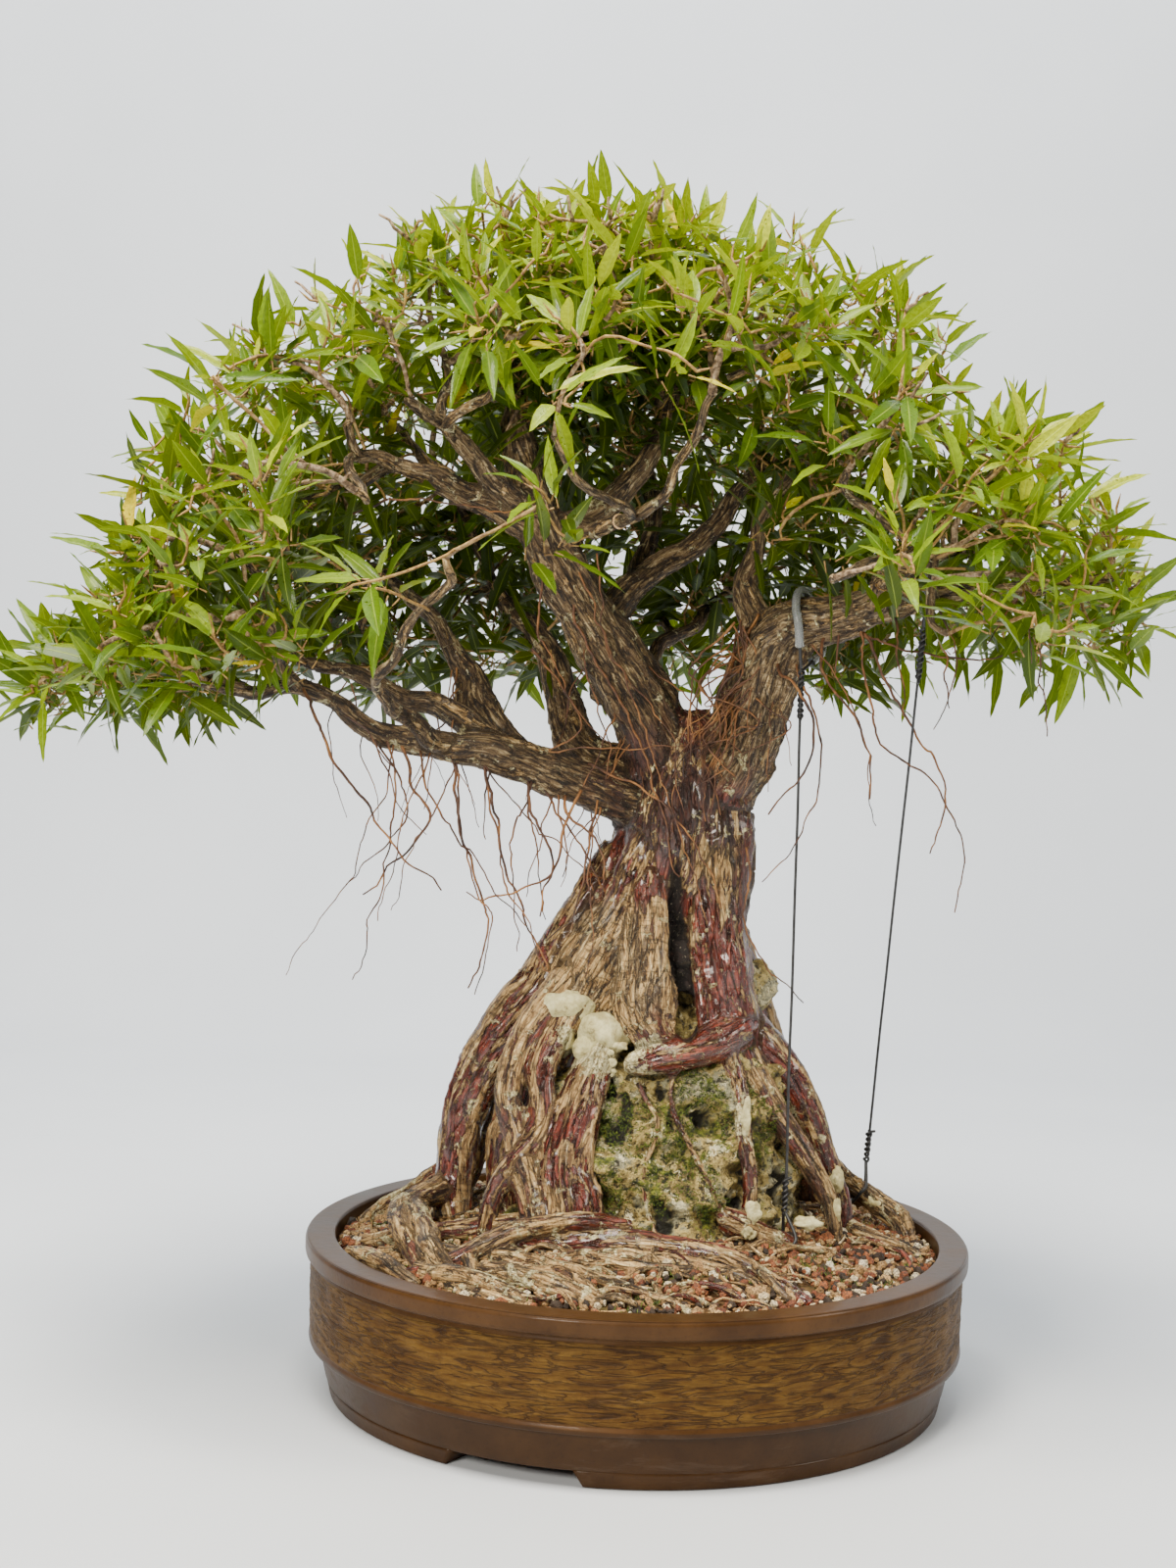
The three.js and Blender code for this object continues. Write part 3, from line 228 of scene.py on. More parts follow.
def make_mesh(name, points, groups, values=(), uv=None, smooth=True):
    mesh = bpy.data.meshes.new(name)
    mesh.vertices.add(len(points))
    mesh.vertices.foreach_set("co", (points * MM + POT_CENTRE).astype(np.float32).ravel())
    counts = np.concatenate([np.full(len(rows), rows.shape[1]) for rows in groups])
    starts = np.concatenate([[0], np.cumsum(counts)[:-1]])
    corners = np.concatenate([rows.ravel() for rows in groups]).astype(np.int32)
    mesh.loops.add(len(corners))
    mesh.loops.foreach_set("vertex_index", corners)
    mesh.polygons.add(len(counts))
    mesh.polygons.foreach_set("loop_start", starts.astype(np.int32))
    mesh.polygons.foreach_set("use_smooth", np.full(len(counts), smooth))
    mesh.update(calc_edges=True)
    for key, value in dict(values).items():
        kind, field = ("FLOAT", "value") if value.ndim == 1 else ("FLOAT_VECTOR", "vector")
        data = mesh.attributes.new(key, kind, "POINT").data
        data.foreach_set(field, value.astype(np.float32).ravel())
    if uv is not None:
        layer = mesh.uv_layers.new(name="UVMap")
        layer.data.foreach_set("uv", uv[corners].astype(np.float32).ravel())
    return mesh


def weld(mesh):
    """Joins the points that coincide at the poles of a turned form."""
    work = bmesh.new()
    work.from_mesh(mesh)
    bmesh.ops.remove_doubles(work, verts=work.verts, dist=0.01 * MM)
    work.to_mesh(mesh)
    work.free()


def linked(name, data):
    """A new object in the scene."""
    thing = bpy.data.objects.new(name, data)
    bpy.context.scene.collection.objects.link(thing)
    return thing


def show(name, mesh, material, slot, *nodes):
    """A piece of the scene, which replaces the CAD nodes named."""
    piece = linked(name, mesh)
    mesh.materials.clear()
    mesh.materials.append(material)
    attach(piece, "root")
    if nodes:
        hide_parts(*nodes)
    return piece


def show_skin(name, skin, material, slot, *nodes, smooth=True, poles=False):
    points, groups, values = skin.arrays()
    mesh = make_mesh(name, points, groups, values, smooth=smooth)
    if poles:
        weld(mesh)
    return show(name, mesh, material, slot, *nodes)


def read_mesh(mesh):
    """Points and normals of a mesh, and its triangles and quads."""
    points = np.empty(len(mesh.vertices) * 3, np.float32)
    normals = np.empty(len(mesh.vertices) * 3, np.float32)
    mesh.vertices.foreach_get("co", points)
    mesh.vertices.foreach_get("normal", normals)
    corners = np.empty(len(mesh.loops), np.int32)
    mesh.loops.foreach_get("vertex_index", corners)
    totals = np.empty(len(mesh.polygons), np.int32)
    starts = np.empty(len(mesh.polygons), np.int32)
    mesh.polygons.foreach_get("loop_total", totals)
    mesh.polygons.foreach_get("loop_start", starts)
    groups = []
    for size in (3, 4):
        if (totals == size).any():
            groups.append(corners[starts[totals == size][:, None] + np.arange(size)])
    points = (points.reshape(-1, 3).astype(float) - POT_CENTRE) / MM
    return points, normals.reshape(-1, 3).astype(float), groups


def evaluated(mesh, *modifiers):
    """The mesh after modifiers, each (kind, settings), as points, normals and faces."""
    worker = linked("worker", mesh)
    for kind, settings in modifiers:
        modifier = worker.modifiers.new(kind, kind)
        for key, value in settings.items():
            setattr(modifier, key, value)
    graph = bpy.context.evaluated_depsgraph_get()
    graph.update()
    result = read_mesh(worker.evaluated_get(graph).to_mesh())
    bpy.data.objects.remove(worker)
    return result


def relax(points, groups, rounds, share):
    """Laplacian smoothing."""
    pairs = np.vstack([np.stack([rows[:, k], rows[:, (k + 1) % rows.shape[1]]], 1) for rows in groups
                       for k in range(rows.shape[1])])
    degree = np.bincount(pairs.ravel(), minlength=len(points))[:, None]
    for _ in range(rounds):
        total = np.zeros_like(points)
        for axis in range(3):
            total[:, axis] = (np.bincount(pairs[:, 0], points[pairs[:, 1], axis], len(points))
                              + np.bincount(pairs[:, 1], points[pairs[:, 0], axis], len(points)))
        points = points + share * (total / np.maximum(degree, 1) - points)
    return points


# Material helpers

class Graph:
    """A material's node graph, written as expressions."""

    def __init__(self, name):
        self.material = bpy.data.materials.new(name)
        self.material.use_nodes = True
        self.tree = self.material.node_tree
        self.tree.nodes.clear()

    def put(self, socket, value):
        if isinstance(value, bpy.types.NodeSocket):
            self.tree.links.new(value, socket)
        elif isinstance(value, tuple) and len(value) == 3 and len(socket.default_value) == 4:
            socket.default_value = (*value, 1.0)
        else:
            socket.default_value = value

    def add(self, kind, values=(), **settings):
        node = self.tree.nodes.new("ShaderNode" + kind)
        for key, value in settings.items():
            setattr(node, key, value)
        for key, value in dict(values).items():
            self.put(node.inputs[key], value)
        return node

    def value(self, name):
        return self.add("Attribute", attribute_name=name).outputs["Fac"]

    def vector(self, name):
        return self.add("Attribute", attribute_name=name).outputs["Vector"]

    def position(self):
        return self.add("TexCoord").outputs["Object"]

    def scaled(self, vector, scale, offset=(0, 0, 0)):
        return self.add("Mapping", {"Vector": vector, "Scale": scale, "Location": offset}).outputs[0]

    def noise(self, vector, scale, detail=4.0, roughness=0.55, distortion=0.0):
        values = {"Vector": vector, "Scale": scale, "Detail": detail, "Roughness": roughness,
                  "Distortion": distortion}
        return self.add("TexNoise", values).outputs["Fac"]

    def cells(self, vector, scale, feature="F1"):
        node = self.add("TexVoronoi", {"Vector": vector, "Scale": scale}, feature=feature)
        return node.outputs["Distance"]

    def ramp(self, value, *stops):
        node = self.add("ValToRGB", {"Fac": value})
        elements = node.color_ramp.elements
        while len(elements) < len(stops):
            elements.new(0.5)
        for element, (place, colour) in zip(elements, stops):
            element.position = place
            colour = (colour,) * 3 if isinstance(colour, (int, float)) else colour
            element.color = (*colour, 1.0)
        return node.outputs["Color"]

    def mix(self, share, a, b):
        node = self.add("Mix", data_type="RGBA", blend_type="MIX")
        self.put(node.inputs[0], share)
        self.put(node.inputs[6], a)
        self.put(node.inputs[7], b)
        return node.outputs[2]

    def math(self, operation, a, b=0.0):
        node = self.add("Math", operation=operation)
        self.put(node.inputs[0], a)
        self.put(node.inputs[1], b)
        return node.outputs[0]

    def times(self, a, b):
        return self.math("MULTIPLY", a, b)

    def plus(self, a, b):
        return self.math("ADD", a, b)

    def minus(self, a, b):
        return self.math("SUBTRACT", a, b)

    def lerp(self, share, a, b):
        node = self.add("Mix", data_type="FLOAT")
        self.put(node.inputs[0], share)
        self.put(node.inputs[2], a)
        self.put(node.inputs[3], b)
        return node.outputs[0]

    def bump(self, height, distance, strength=1.0, normal=None):
        values = {"Height": height, "Distance": distance, "Strength": strength}
        if normal is not None:
            values["Normal"] = normal
        return self.add("Bump", values).outputs[0]

    def finish(self, values, translucent=None):
        shader = self.add("BsdfPrincipled", values).outputs[0]
        if translucent is not None:
            share, colour = translucent
            glow = self.add("BsdfTranslucent", {"Color": colour}).outputs[0]
            joint = self.add("MixShader")
            self.put(joint.inputs[0], share)
            self.put(joint.inputs[1], shader)
            self.put(joint.inputs[2], glow)
            shader = joint.outputs[0]
        output = self.add("OutputMaterial")
        self.put(output.inputs["Surface"], shader)
        return self.material


# Materials

def pot_material():
    """Satin dark glaze, with an olive brown band of wavy wood grain."""
    g = Graph("glazed clay")
    band, grain, lime = g.value("band"), g.value("grain"), g.value("lime")
    place = g.position()
    speckle = g.noise(place, 420.0, 3.0, 0.6)
    cloud = g.noise(place, 26.0, 5.0, 0.6)
    dark = g.ramp(cloud, (0.3, (0.030, 0.0125, 0.0036)), (0.7, (0.072, 0.0330, 0.0100)))
    fine = g.noise(g.scaled(place, (60.0, 60.0, 420.0)), 1.0, 5.0, 0.62, 0.9)
    wave = g.noise(g.scaled(place, (30.0, 30.0, 210.0)), 1.0, 3.0, 0.5, 1.1)
    wave_line = g.ramp(g.math("ABSOLUTE", g.minus(wave, 0.5)), (0.0, 1.0), (0.020, 0.7), (0.045, 0.0))
    wood = g.plus(g.times(fine, 0.70), g.times(grain, 0.30))
    olive = g.ramp(wood, (0.32, (0.026, 0.010, 0.002)), (0.48, (0.062, 0.0275, 0.0045)),
                   (0.62, (0.100, 0.050, 0.0085)), (0.80, (0.145, 0.080, 0.016)))
    olive = g.mix(g.ramp(cloud, (0.40, 0.0), (0.80, 0.40)), olive, (0.046, 0.021, 0.006))
    olive = g.mix(g.times(wave_line, 0.72), olive, (0.022, 0.010, 0.004))
    body = g.mix(band, dark, olive)
    body = g.mix(g.ramp(speckle, (0.55, 0.0), (0.75, 0.35)), body, (0.012, 0.006, 0.004))
    streak = g.noise(g.scaled(place, (14.0, 14.0, 60.0)), 1.0, 5.0, 0.72, 0.5)
    bloom = g.times(lime, g.ramp(streak, (0.56, 0.0), (0.68, 1.0)))
    body = g.mix(g.times(bloom, 0.15), body, (0.28, 0.22, 0.17))
    # Painted shade: the lower band and the feet are darkened.
    body = g.mix(g.times(lime, 0.45), body, (0.020, 0.009, 0.003))
    rough = g.plus(g.lerp(band, 0.36, 0.52), g.times(bloom, 0.25))
    rough = g.plus(rough, g.times(g.ramp(cloud, (0.3, 0.0), (0.8, 1.0)), 0.10))
    height = g.plus(g.times(speckle, 0.35), g.times(g.noise(place, 150.0, 3.0), 0.65))
    carved = g.minus(wood, g.times(wave_line, 0.6))
    normal = g.bump(height, 0.0005, 0.40)
    normal = g.bump(g.times(carved, band), 0.0014, 0.75, normal)
    return g.finish({"Base Color": body, "Roughness": rough, "Normal": normal, "Specular IOR Level": 0.10,
                     "Coat Weight": g.lerp(band, 0.09, 0.03), "Coat Roughness": 0.10})


def soil_material():
    g = Graph("potting grit base")
    place = g.position()
    tone = g.noise(place, 190.0, 4.0, 0.65)
    colour = g.ramp(tone, (0.3, (0.028, 0.015, 0.006)), (0.55, (0.12, 0.062, 0.024)),
                    (0.75, (0.30, 0.17, 0.070)))
    moss = g.ramp(g.noise(place, 22.0, 4.0, 0.6), (0.52, 0.0), (0.62, 1.0))
    colour = g.mix(g.times(moss, 0.7), colour, (0.060, 0.085, 0.016))
    normal = g.bump(g.noise(place, 420.0, 3.0, 0.7), 0.0016, 0.8)
    return g.finish({"Base Color": colour, "Roughness": 0.92, "Normal": normal, "Specular IOR Level": 0.25})


def grit_material():
    """Grains of bark, lava, clay and pumice, told apart by the value kind."""
    g = Graph("grit grains")
    kind = g.value("kind")
    place = g.position()
    colour = g.ramp(kind, (0.0, (0.020, 0.014, 0.010)), (0.18, (0.045, 0.026, 0.014)),
                    (0.22, (0.17, 0.040, 0.014)), (0.46, (0.36, 0.115, 0.036)),
                    (0.50, (0.34, 0.18, 0.060)), (0.72, (0.62, 0.40, 0.17)),
                    (0.76, (0.76, 0.60, 0.34)), (1.0, (0.92, 0.82, 0.58)))
    tone = g.noise(place, 900.0, 2.0, 0.70)
    colour = g.mix(g.ramp(tone, (0.38, 0.85), (0.60, 0.0)), colour, (0.030, 0.017, 0.010))
    normal = g.bump(g.noise(place, 1100.0, 2.0, 0.7), 0.0009, 0.9)
    return g.finish({"Base Color": colour, "Roughness": g.lerp(tone, 0.55, 0.95), "Normal": normal})


def rock_material():
    """Pitted limestone with chalky crests and moss, darkened with painted shade in its pits and hollows."""
    g = Graph("mossy limestone")
    place = g.position()
    pits, moss_at = g.value("hollow"), g.value("moss")
    patch = g.noise(place, 42.0, 7.0, 0.72, 0.6)
    stone = g.ramp(patch, (0.36, (0.050, 0.036, 0.010)), (0.44, (0.26, 0.185, 0.052)),
                   (0.52, (0.62, 0.475, 0.165)), (0.58, (0.30, 0.29, 0.19)), (0.68, (0.74, 0.64, 0.34)))
    fine = g.noise(place, 210.0, 4.0, 0.75)
    # Painted shade: the low spots of the fine noise, which the bump below sinks, are darkened almost to
    # black.
    stone = g.mix(g.ramp(fine, (0.40, 0.96), (0.48, 0.0)), stone, (0.016, 0.012, 0.005))
    chalk = g.ramp(g.noise(place, 75.0, 6.0, 0.74, 0.8), (0.575, 0.0), (0.61, 1.0))
    stone = g.mix(g.times(chalk, 0.95), stone, (0.92, 0.84, 0.52))
    growth = g.noise(place, 48.0, 7.0, 0.78, 0.7)
    moss = g.times(moss_at, g.ramp(growth, (0.525, 0.0), (0.565, 0.97)))
    green = g.ramp(fine, (0.38, (0.012, 0.020, 0.002)), (0.48, (0.060, 0.082, 0.005)),
                   (0.58, (0.20, 0.225, 0.014)), (0.72, (0.46, 0.42, 0.050)))
    colour = g.mix(moss, stone, green)
    # Painted shade: the hollows are darkened almost to black.
    colour = g.mix(g.ramp(pits, (0.30, 0.0), (0.62, 0.96)), colour, (0.007, 0.006, 0.003))
    rough = g.lerp(g.ramp(fine, (0.4, 0.0), (0.7, 1.0)), 0.48, 0.90)
    normal = g.bump(g.noise(place, 90.0, 5.0, 0.75), 0.0085, 0.95)
    normal = g.bump(fine, 0.0028, 0.90, normal)
    normal = g.bump(g.noise(place, 900.0, 2.0, 0.7), 0.0007, 0.6, normal)
    return g.finish({"Base Color": colour, "Roughness": rough, "Normal": normal})


def bark_skin(g, fibre, red, light):
    """Bark's own colour: brown to grey where old, maroon where the outer bark is gone."""
    brown = g.ramp(fibre, (0.40, (0.008, 0.004, 0.0015)), (0.48, (0.060, 0.030, 0.011)),
                   (0.56, (0.135, 0.080, 0.030)), (0.68, (0.46, 0.34, 0.17)))
    grey = g.ramp(fibre, (0.39, (0.040, 0.021, 0.008)), (0.48, (0.20, 0.124, 0.050)),
                  (0.58, (0.42, 0.295, 0.145)), (0.70, (0.76, 0.60, 0.37)))
    maroon = g.ramp(fibre, (0.36, (0.030, 0.003, 0.002)), (0.50, (0.098, 0.010, 0.005)),
                    (0.62, (0.24, 0.044, 0.020)), (0.74, (0.50, 0.18, 0.10)))
    dusk = g.ramp(fibre, (0.38, (0.012, 0.003, 0.002)), (0.50, (0.040, 0.009, 0.005)),
                  (0.64, (0.085, 0.024, 0.010)), (0.78, (0.20, 0.085, 0.035)))
    maroon = g.mix(g.ramp(light, (0.06, 0.0), (0.30, 1.0)), dusk, maroon)
    bare = g.ramp(red, (0.26, 0.0), (0.46, 1.0))
    return g.mix(bare, g.mix(light, brown, grey), maroon), bare


def bark_flakes(g, flow, strand):
    """Where tan flakes still cover the bark, and their dark edges."""
    flaky = g.noise(g.scaled(flow, (0.085, 0.085, 0.027), (31.0, 7.0, 3.0)), 1.0, 6.0, 0.74, 1.0)
    crest = g.times(g.minus(strand, 0.5), 0.55)
    shed = g.plus(g.plus(flaky, crest), g.times(g.minus(g.value("pale"), 0.5), 0.26))
    flakes = g.ramp(shed, (0.505, 0.0), (0.530, 1.0))
    edge = g.ramp(shed, (0.478, 0.0), (0.503, 0.85), (0.522, 0.0))
    return flakes, edge


def bark_cracks(g, flow, fibre, strand):
    wavy = g.add("CombineXYZ", {"X": strand, "Y": fibre, "Z": strand}).outputs[0]
    long_cells = g.scaled(flow, (0.20, 0.20, 0.036))
    warped = g.add("VectorMath", {0: long_cells, 1: wavy}, operation="ADD").outputs[0]
    return g.ramp(g.cells(warped, 1.0, "DISTANCE_TO_EDGE"), (0.0, 1.0), (0.065, 0.0))


def bark_material():
    """Fibrous bark that follows the flow of the wood, glossy where it is wet and maroon."""
    g = Graph("ficus bark")
    flow, place = g.vector("flow"), g.position()
    zone = g.add("SeparateXYZ", {"Vector": g.vector("zone")})
    red, light, wet = zone.outputs[0], zone.outputs[1], zone.outputs[2]
    cavity = g.value("cavity")
    fibre = g.noise(g.scaled(flow, (0.46, 0.46, 0.075)), 1.0, 4.0, 0.66, 0.8)
    strand = g.noise(g.scaled(flow, (0.135, 0.135, 0.014)), 1.0, 4.0, 0.58, 1.4)
    rings = g.noise(g.scaled(flow, (0.10, 0.10, 0.62)), 1.0, 3.0, 0.65, 0.6)
    grain = g.noise(place, 520.0, 3.0, 0.72)
    flakes, flake_edge = bark_flakes(g, flow, strand)
    crack = bark_cracks(g, flow, fibre, strand)
    base, bare = bark_skin(g, fibre, red, light)
    tan = g.ramp(fibre, (0.38, (0.11, 0.052, 0.014)), (0.47, (0.37, 0.22, 0.080)),
                 (0.57, (0.58, 0.38, 0.155)), (0.70, (0.90, 0.70, 0.38)))
    base = g.mix(g.times(flakes, 0.94), base, tan)
    base = g.mix(flake_edge, base, (0.020, 0.007, 0.003))
    ring_lines = g.times(g.ramp(rings, (0.38, 0.70), (0.46, 0.0)), g.ramp(light, (0.0, 0.35), (0.6, 1.0)))
    base = g.mix(ring_lines, base, (0.050, 0.026, 0.012))
    base = g.mix(g.times(crack, g.lerp(bare, 0.85, 0.45)), base, (0.012, 0.005, 0.002))
    crust = g.plus(g.noise(place, 95.0, 5.0, 0.72, 0.5), g.times(g.value("crust"), 0.30))
    crust = g.ramp(crust, (0.60, 0.0), (0.635, 1.0))
    chalky = g.ramp(grain, (0.38, (0.24, 0.18, 0.070)), (0.50, (0.56, 0.49, 0.26)),
                    (0.66, (0.82, 0.76, 0.48)))
    base = g.mix(crust, base, chalky)
    # Painted shade: darkened almost to black in the furrows, the slot and the low parts of the relief.
    base = g.mix(g.ramp(cavity, (0.42, 0.0), (0.80, 0.97)), base, (0.006, 0.003, 0.0015))
    fleck = g.times(g.ramp(grain, (0.61, 0.0), (0.71, 0.55)), g.ramp(light, (0.0, 0.30), (0.6, 1.0)))
    base = g.mix(fleck, base, (0.70, 0.60, 0.42))
    gloss = g.times(wet, g.minus(1.0, g.times(flakes, 0.70)))
    gloss = g.times(gloss, g.ramp(cavity, (0.35, 1.0), (0.75, 0.0)))
    gloss = g.times(gloss, g.minus(1.0, crust))
    smooth_skin = g.times(bare, g.minus(1.0, flakes))
    height = g.plus(g.times(fibre, g.lerp(smooth_skin, 0.60, 0.16)), g.times(strand, 0.60))
    height = g.plus(height, g.times(g.math("MAXIMUM", flakes, crust), 0.24))
    height = g.minus(height, g.times(crack, 0.30))
    normal = g.bump(height, 0.0050, 0.95)
    normal = g.bump(rings, 0.0012, 0.40, normal)
    normal = g.bump(g.times(grain, g.lerp(smooth_skin, 1.0, 0.25)), 0.0009, 0.55, normal)
    return g.finish({"Base Color": base, "Roughness": g.lerp(gloss, 0.80, 0.27), "Normal": normal,
                     "Specular IOR Level": 0.5, "Coat Weight": g.times(gloss, 0.50), "Coat Roughness": 0.12})


def twig_material():
    g = Graph("twig bark")
    tone = g.noise(g.position(), 300.0, 4.0, 0.70)
    old = g.ramp(tone, (0.34, (0.030, 0.015, 0.007)), (0.47, (0.165, 0.098, 0.048)),
                 (0.60, (0.40, 0.28, 0.165)), (0.76, (0.68, 0.56, 0.40)))
    fresh = g.ramp(tone, (0.35, (0.14, 0.060, 0.016)), (0.58, (0.36, 0.215, 0.050)),
                   (0.78, (0.42, 0.38, 0.070)))
    colour = g.mix(g.value("young"), old, fresh)
    return g.finish({"Base Color": colour, "Roughness": 0.60, "Normal": g.bump(tone, 0.0014, 0.85)})


def leaf_material():
    """Waxy leaves from dark to yellow green, with veins and drops of dew; the green stands for young growth
    and for painted light and shade.
    """
    g = Graph("willow leaf")
    sides = g.add("SeparateXYZ", {"Vector": g.add("UVMap", uv_map="UVMap").outputs[0]})
    off_middle = g.times(g.math("ABSOLUTE", g.minus(sides.outputs[0], 0.5)), 2.0)
    tint, drop_at = g.value("tint"), g.vector("dew")
    colour = g.ramp(tint, (0.0, (0.011, 0.022, 0.001)), (0.25, (0.032, 0.066, 0.002)),
                    (0.50, (0.078, 0.160, 0.003)), (0.75, (0.235, 0.340, 0.003)),
                    (0.93, (0.440, 0.490, 0.006)), (1.0, (0.66, 0.50, 0.010)))
    mottle = g.noise(drop_at, 0.45, 2.0, 0.6)
    colour = g.mix(g.ramp(mottle, (0.35, 0.40), (0.65, 0.0)), colour, (0.012, 0.040, 0.004))
    lean = g.plus(sides.outputs[1], g.times(off_middle, -0.16))
    veins = g.math("ABSOLUTE", g.math("SINE", g.times(lean, 44.0)))
    vein_line = g.ramp(veins, (0.0, 1.0), (0.22, 0.0))
    midrib = g.ramp(off_middle, (0.03, 1.0), (0.12, 0.0))
    pale = g.mix(0.50, colour, (0.48, 0.60, 0.07))
    colour = g.mix(g.times(vein_line, 0.14), colour, pale)
    colour = g.mix(g.times(midrib, 0.70), colour, pale)
    scarce = g.ramp(g.noise(drop_at, 0.07, 1.0), (0.50, 0.0), (0.58, 1.0))
    bead = g.times(g.ramp(g.cells(drop_at, 0.36), (0.0, 1.0), (0.28, 0.0)), scarce)
    height = g.minus(g.times(vein_line, -0.25), g.times(midrib, 0.5))
    normal = g.bump(height, 0.0005, 0.5)
    normal = g.bump(bead, 0.0012, 1.0, normal)
    glow = g.mix(0.5, colour, (0.42, 0.52, 0.0))
    return g.finish({"Base Color": colour, "Roughness": g.lerp(bead, 0.33, 0.06), "Normal": normal,
                     "Specular IOR Level": 0.16, "Coat Weight": g.lerp(tint, 0.08, 0.22),
                     "Coat Roughness": 0.08}, translucent=(0.24, glow))


def moss_material():
    g = Graph("moss tufts")
    colour = g.ramp(g.value("kind"), (0.0, (0.014, 0.026, 0.003)), (0.5, (0.050, 0.085, 0.008)),
                    (1.0, (0.19, 0.24, 0.026)))
    return g.finish({"Base Color": colour, "Roughness": 0.85}, translucent=(0.15, colour))


def putty_material():
    g = Graph("wound putty")
    place = g.position()
    tone = g.noise(place, 120.0, 5.0, 0.70)
    colour = g.ramp(tone, (0.32, (0.20, 0.155, 0.060)), (0.40, (0.46, 0.40, 0.185)),
                    (0.62, (0.70, 0.65, 0.36)))
    stain = g.ramp(g.noise(place, 55.0, 5.0, 0.65, 0.6), (0.56, 0.0), (0.68, 0.75))
    colour = g.mix(stain, colour, (0.34, 0.26, 0.105))
    normal = g.bump(g.noise(place, 150.0, 5.0, 0.68), 0.0030, 0.80)
    return g.finish({"Base Color": colour, "Roughness": 0.82, "Normal": normal})


def wire_material():
    g = Graph("black wire")
    rub = g.noise(g.position(), 300.0, 3.0)
    colour = g.ramp(rub, (0.4, (0.010, 0.010, 0.011)), (0.75, (0.030, 0.030, 0.032)))
    return g.finish({"Base Color": colour, "Roughness": g.lerp(rub, 0.35, 0.55), "Specular IOR Level": 0.5})


def sleeve_material():
    g = Graph("clear sleeve")
    haze = g.noise(g.position(), 200.0, 3.0)
    return g.finish({"Base Color": (0.86, 0.89, 0.88), "Roughness": g.lerp(haze, 0.12, 0.30), "IOR": 1.42,
                     "Transmission Weight": 0.85})


def screen_material():
    g = Graph("screen plastic")
    dust = g.noise(g.position(), 350.0, 4.0)
    colour = g.ramp(dust, (0.4, (0.010, 0.011, 0.011)), (0.8, (0.050, 0.046, 0.040)))
    return g.finish({"Base Color": colour, "Roughness": 0.6})


def hanging_material():
    g = Graph("hanging root")
    tone = g.noise(g.position(), 45.0, 4.0, 0.65)
    colour = g.ramp(tone, (0.36, (0.022, 0.009, 0.006)), (0.48, (0.090, 0.034, 0.014)),
                    (0.60, (0.24, 0.098, 0.026)), (0.75, (0.40, 0.195, 0.060)))
    return g.finish({"Base Color": colour, "Roughness": 0.62})


def cut_wood_material():
    g = Graph("cut wood")
    rings = g.noise(g.position(), 900.0, 4.0, 0.6)
    colour = g.ramp(rings, (0.35, (0.42, 0.22, 0.085)), (0.65, (0.72, 0.50, 0.26)))
    return g.finish({"Base Color": colour, "Roughness": 0.6})


BARK = bark_material()
TWIG = twig_material()
LEAF = leaf_material()
GRIT = grit_material()
PUTTY = putty_material()


# Pot

POT_STEPS = 400
FOOT_TOP = 9.6
FOOT_ROWS = 110
FOOT_HALF_GAP = 11
FOOT_GAPS = (-112, 8, 128)
DRAIN_X, DRAIN_RADIUS = 72.0, 14.0

# Pot profile, (radius, z) from under the floor round the lip to the floor, and each corner's bevel
OUTSIDE = [(0, 9), (163, 9), (186, 9), (187.2, 13), (190.8, 30.5), (196.3, 31.6), (196.9, 34.0),
           (196.0, 36.2), (196.6, 80.4), (195.9, 82.6), (199.6, 84.0), (200, 86), (200, 92.5), (198.5, 94),
           (183, 94), (182, 93), (178.5, 30), (166, 18), (0, 18)]
BEVELS = [0, 0, 1.2, 1.5, 1.2, 0.8, 0.8, 0.5, 0.8, 0.6, 0.6, 0.6, 1.6, 0.7, 0.8, 1.0, 6, 6, 0]


def turned(profile, steps):
    """Radius, height and angle of the points of a profile turned about the pot's axis."""
    profile = np.asarray(profile, float)
    angle = np.arange(steps) / steps * FULL_TURN
    return profile[:, :1] + 0 * angle, profile[:, 1:] + 0 * angle, angle + 0 * profile[:, :1]


def from_polar(radius, height, angle):
    return np.stack([radius * np.cos(angle), radius * np.sin(angle), height], -1).reshape(-1, 3)


def rounded(profile, bevels):
    """Cuts each corner of a profile back by its bevel and rounds it."""
    rows = []
    for k, (point, cut) in enumerate(zip(np.asarray(profile, float), bevels)):
        if cut == 0:
            rows.append(point)
            continue
        before, after = np.asarray(profile[k - 1], float), np.asarray(profile[k + 1], float)
        start = point + unit(before - point) * cut
        end = point + unit(after - point) * cut
        for t in np.linspace(0, 1, 5):
            rows.append((1 - t) ** 2 * start + 2 * t * (1 - t) * point + t * t * end)
    return np.array(rows)


def refined(profile, step, hidden_step=24.0, seen_from=182.2):
    """Splits long edges; those inside or underneath, within the radius seen_from, only coarsely."""
    rows = [profile[0]]
    for a, b in zip(profile[:-1], profile[1:]):
        hidden = min(a[0], b[0]) < seen_from
        count = max(1, int(math.ceil(np.linalg.norm(b - a) / (hidden_step if hidden else step))))
        rows.extend(a + (b - a) * t for t in np.arange(1, count + 1) / count)
    return np.array(rows)


def pot_profile():
    """The pot's profile, twice as fine on the outside of the textured band."""
    profile = refined(rounded(OUTSIDE, BEVELS), 3.0)
    radius, z = profile.T
    fine = (radius > 182.5) & (z > 36) & (z < 83)
    rows = []
    for a, b, inside in zip(profile[:-1], profile[1:], fine[:-1]):
        rows.append(a)
        if inside:
            rows.append((a + b) / 2)
    rows.append(profile[-1])
    return np.array(rows)


def band_grain(angle, z):
    """Wavy wood grain round the textured band, 0 to 1."""
    flat = from_polar(12.0, 0.24 * z, angle)
    sway = fractal(flat * [0.5, 0.5, 0.3], 3, 5)
    lines = ridged(flat + np.outer(sway, [0, 0, 1.6]), 3, 11)
    return (0.5 + 0.5 * lines).reshape(z.shape)


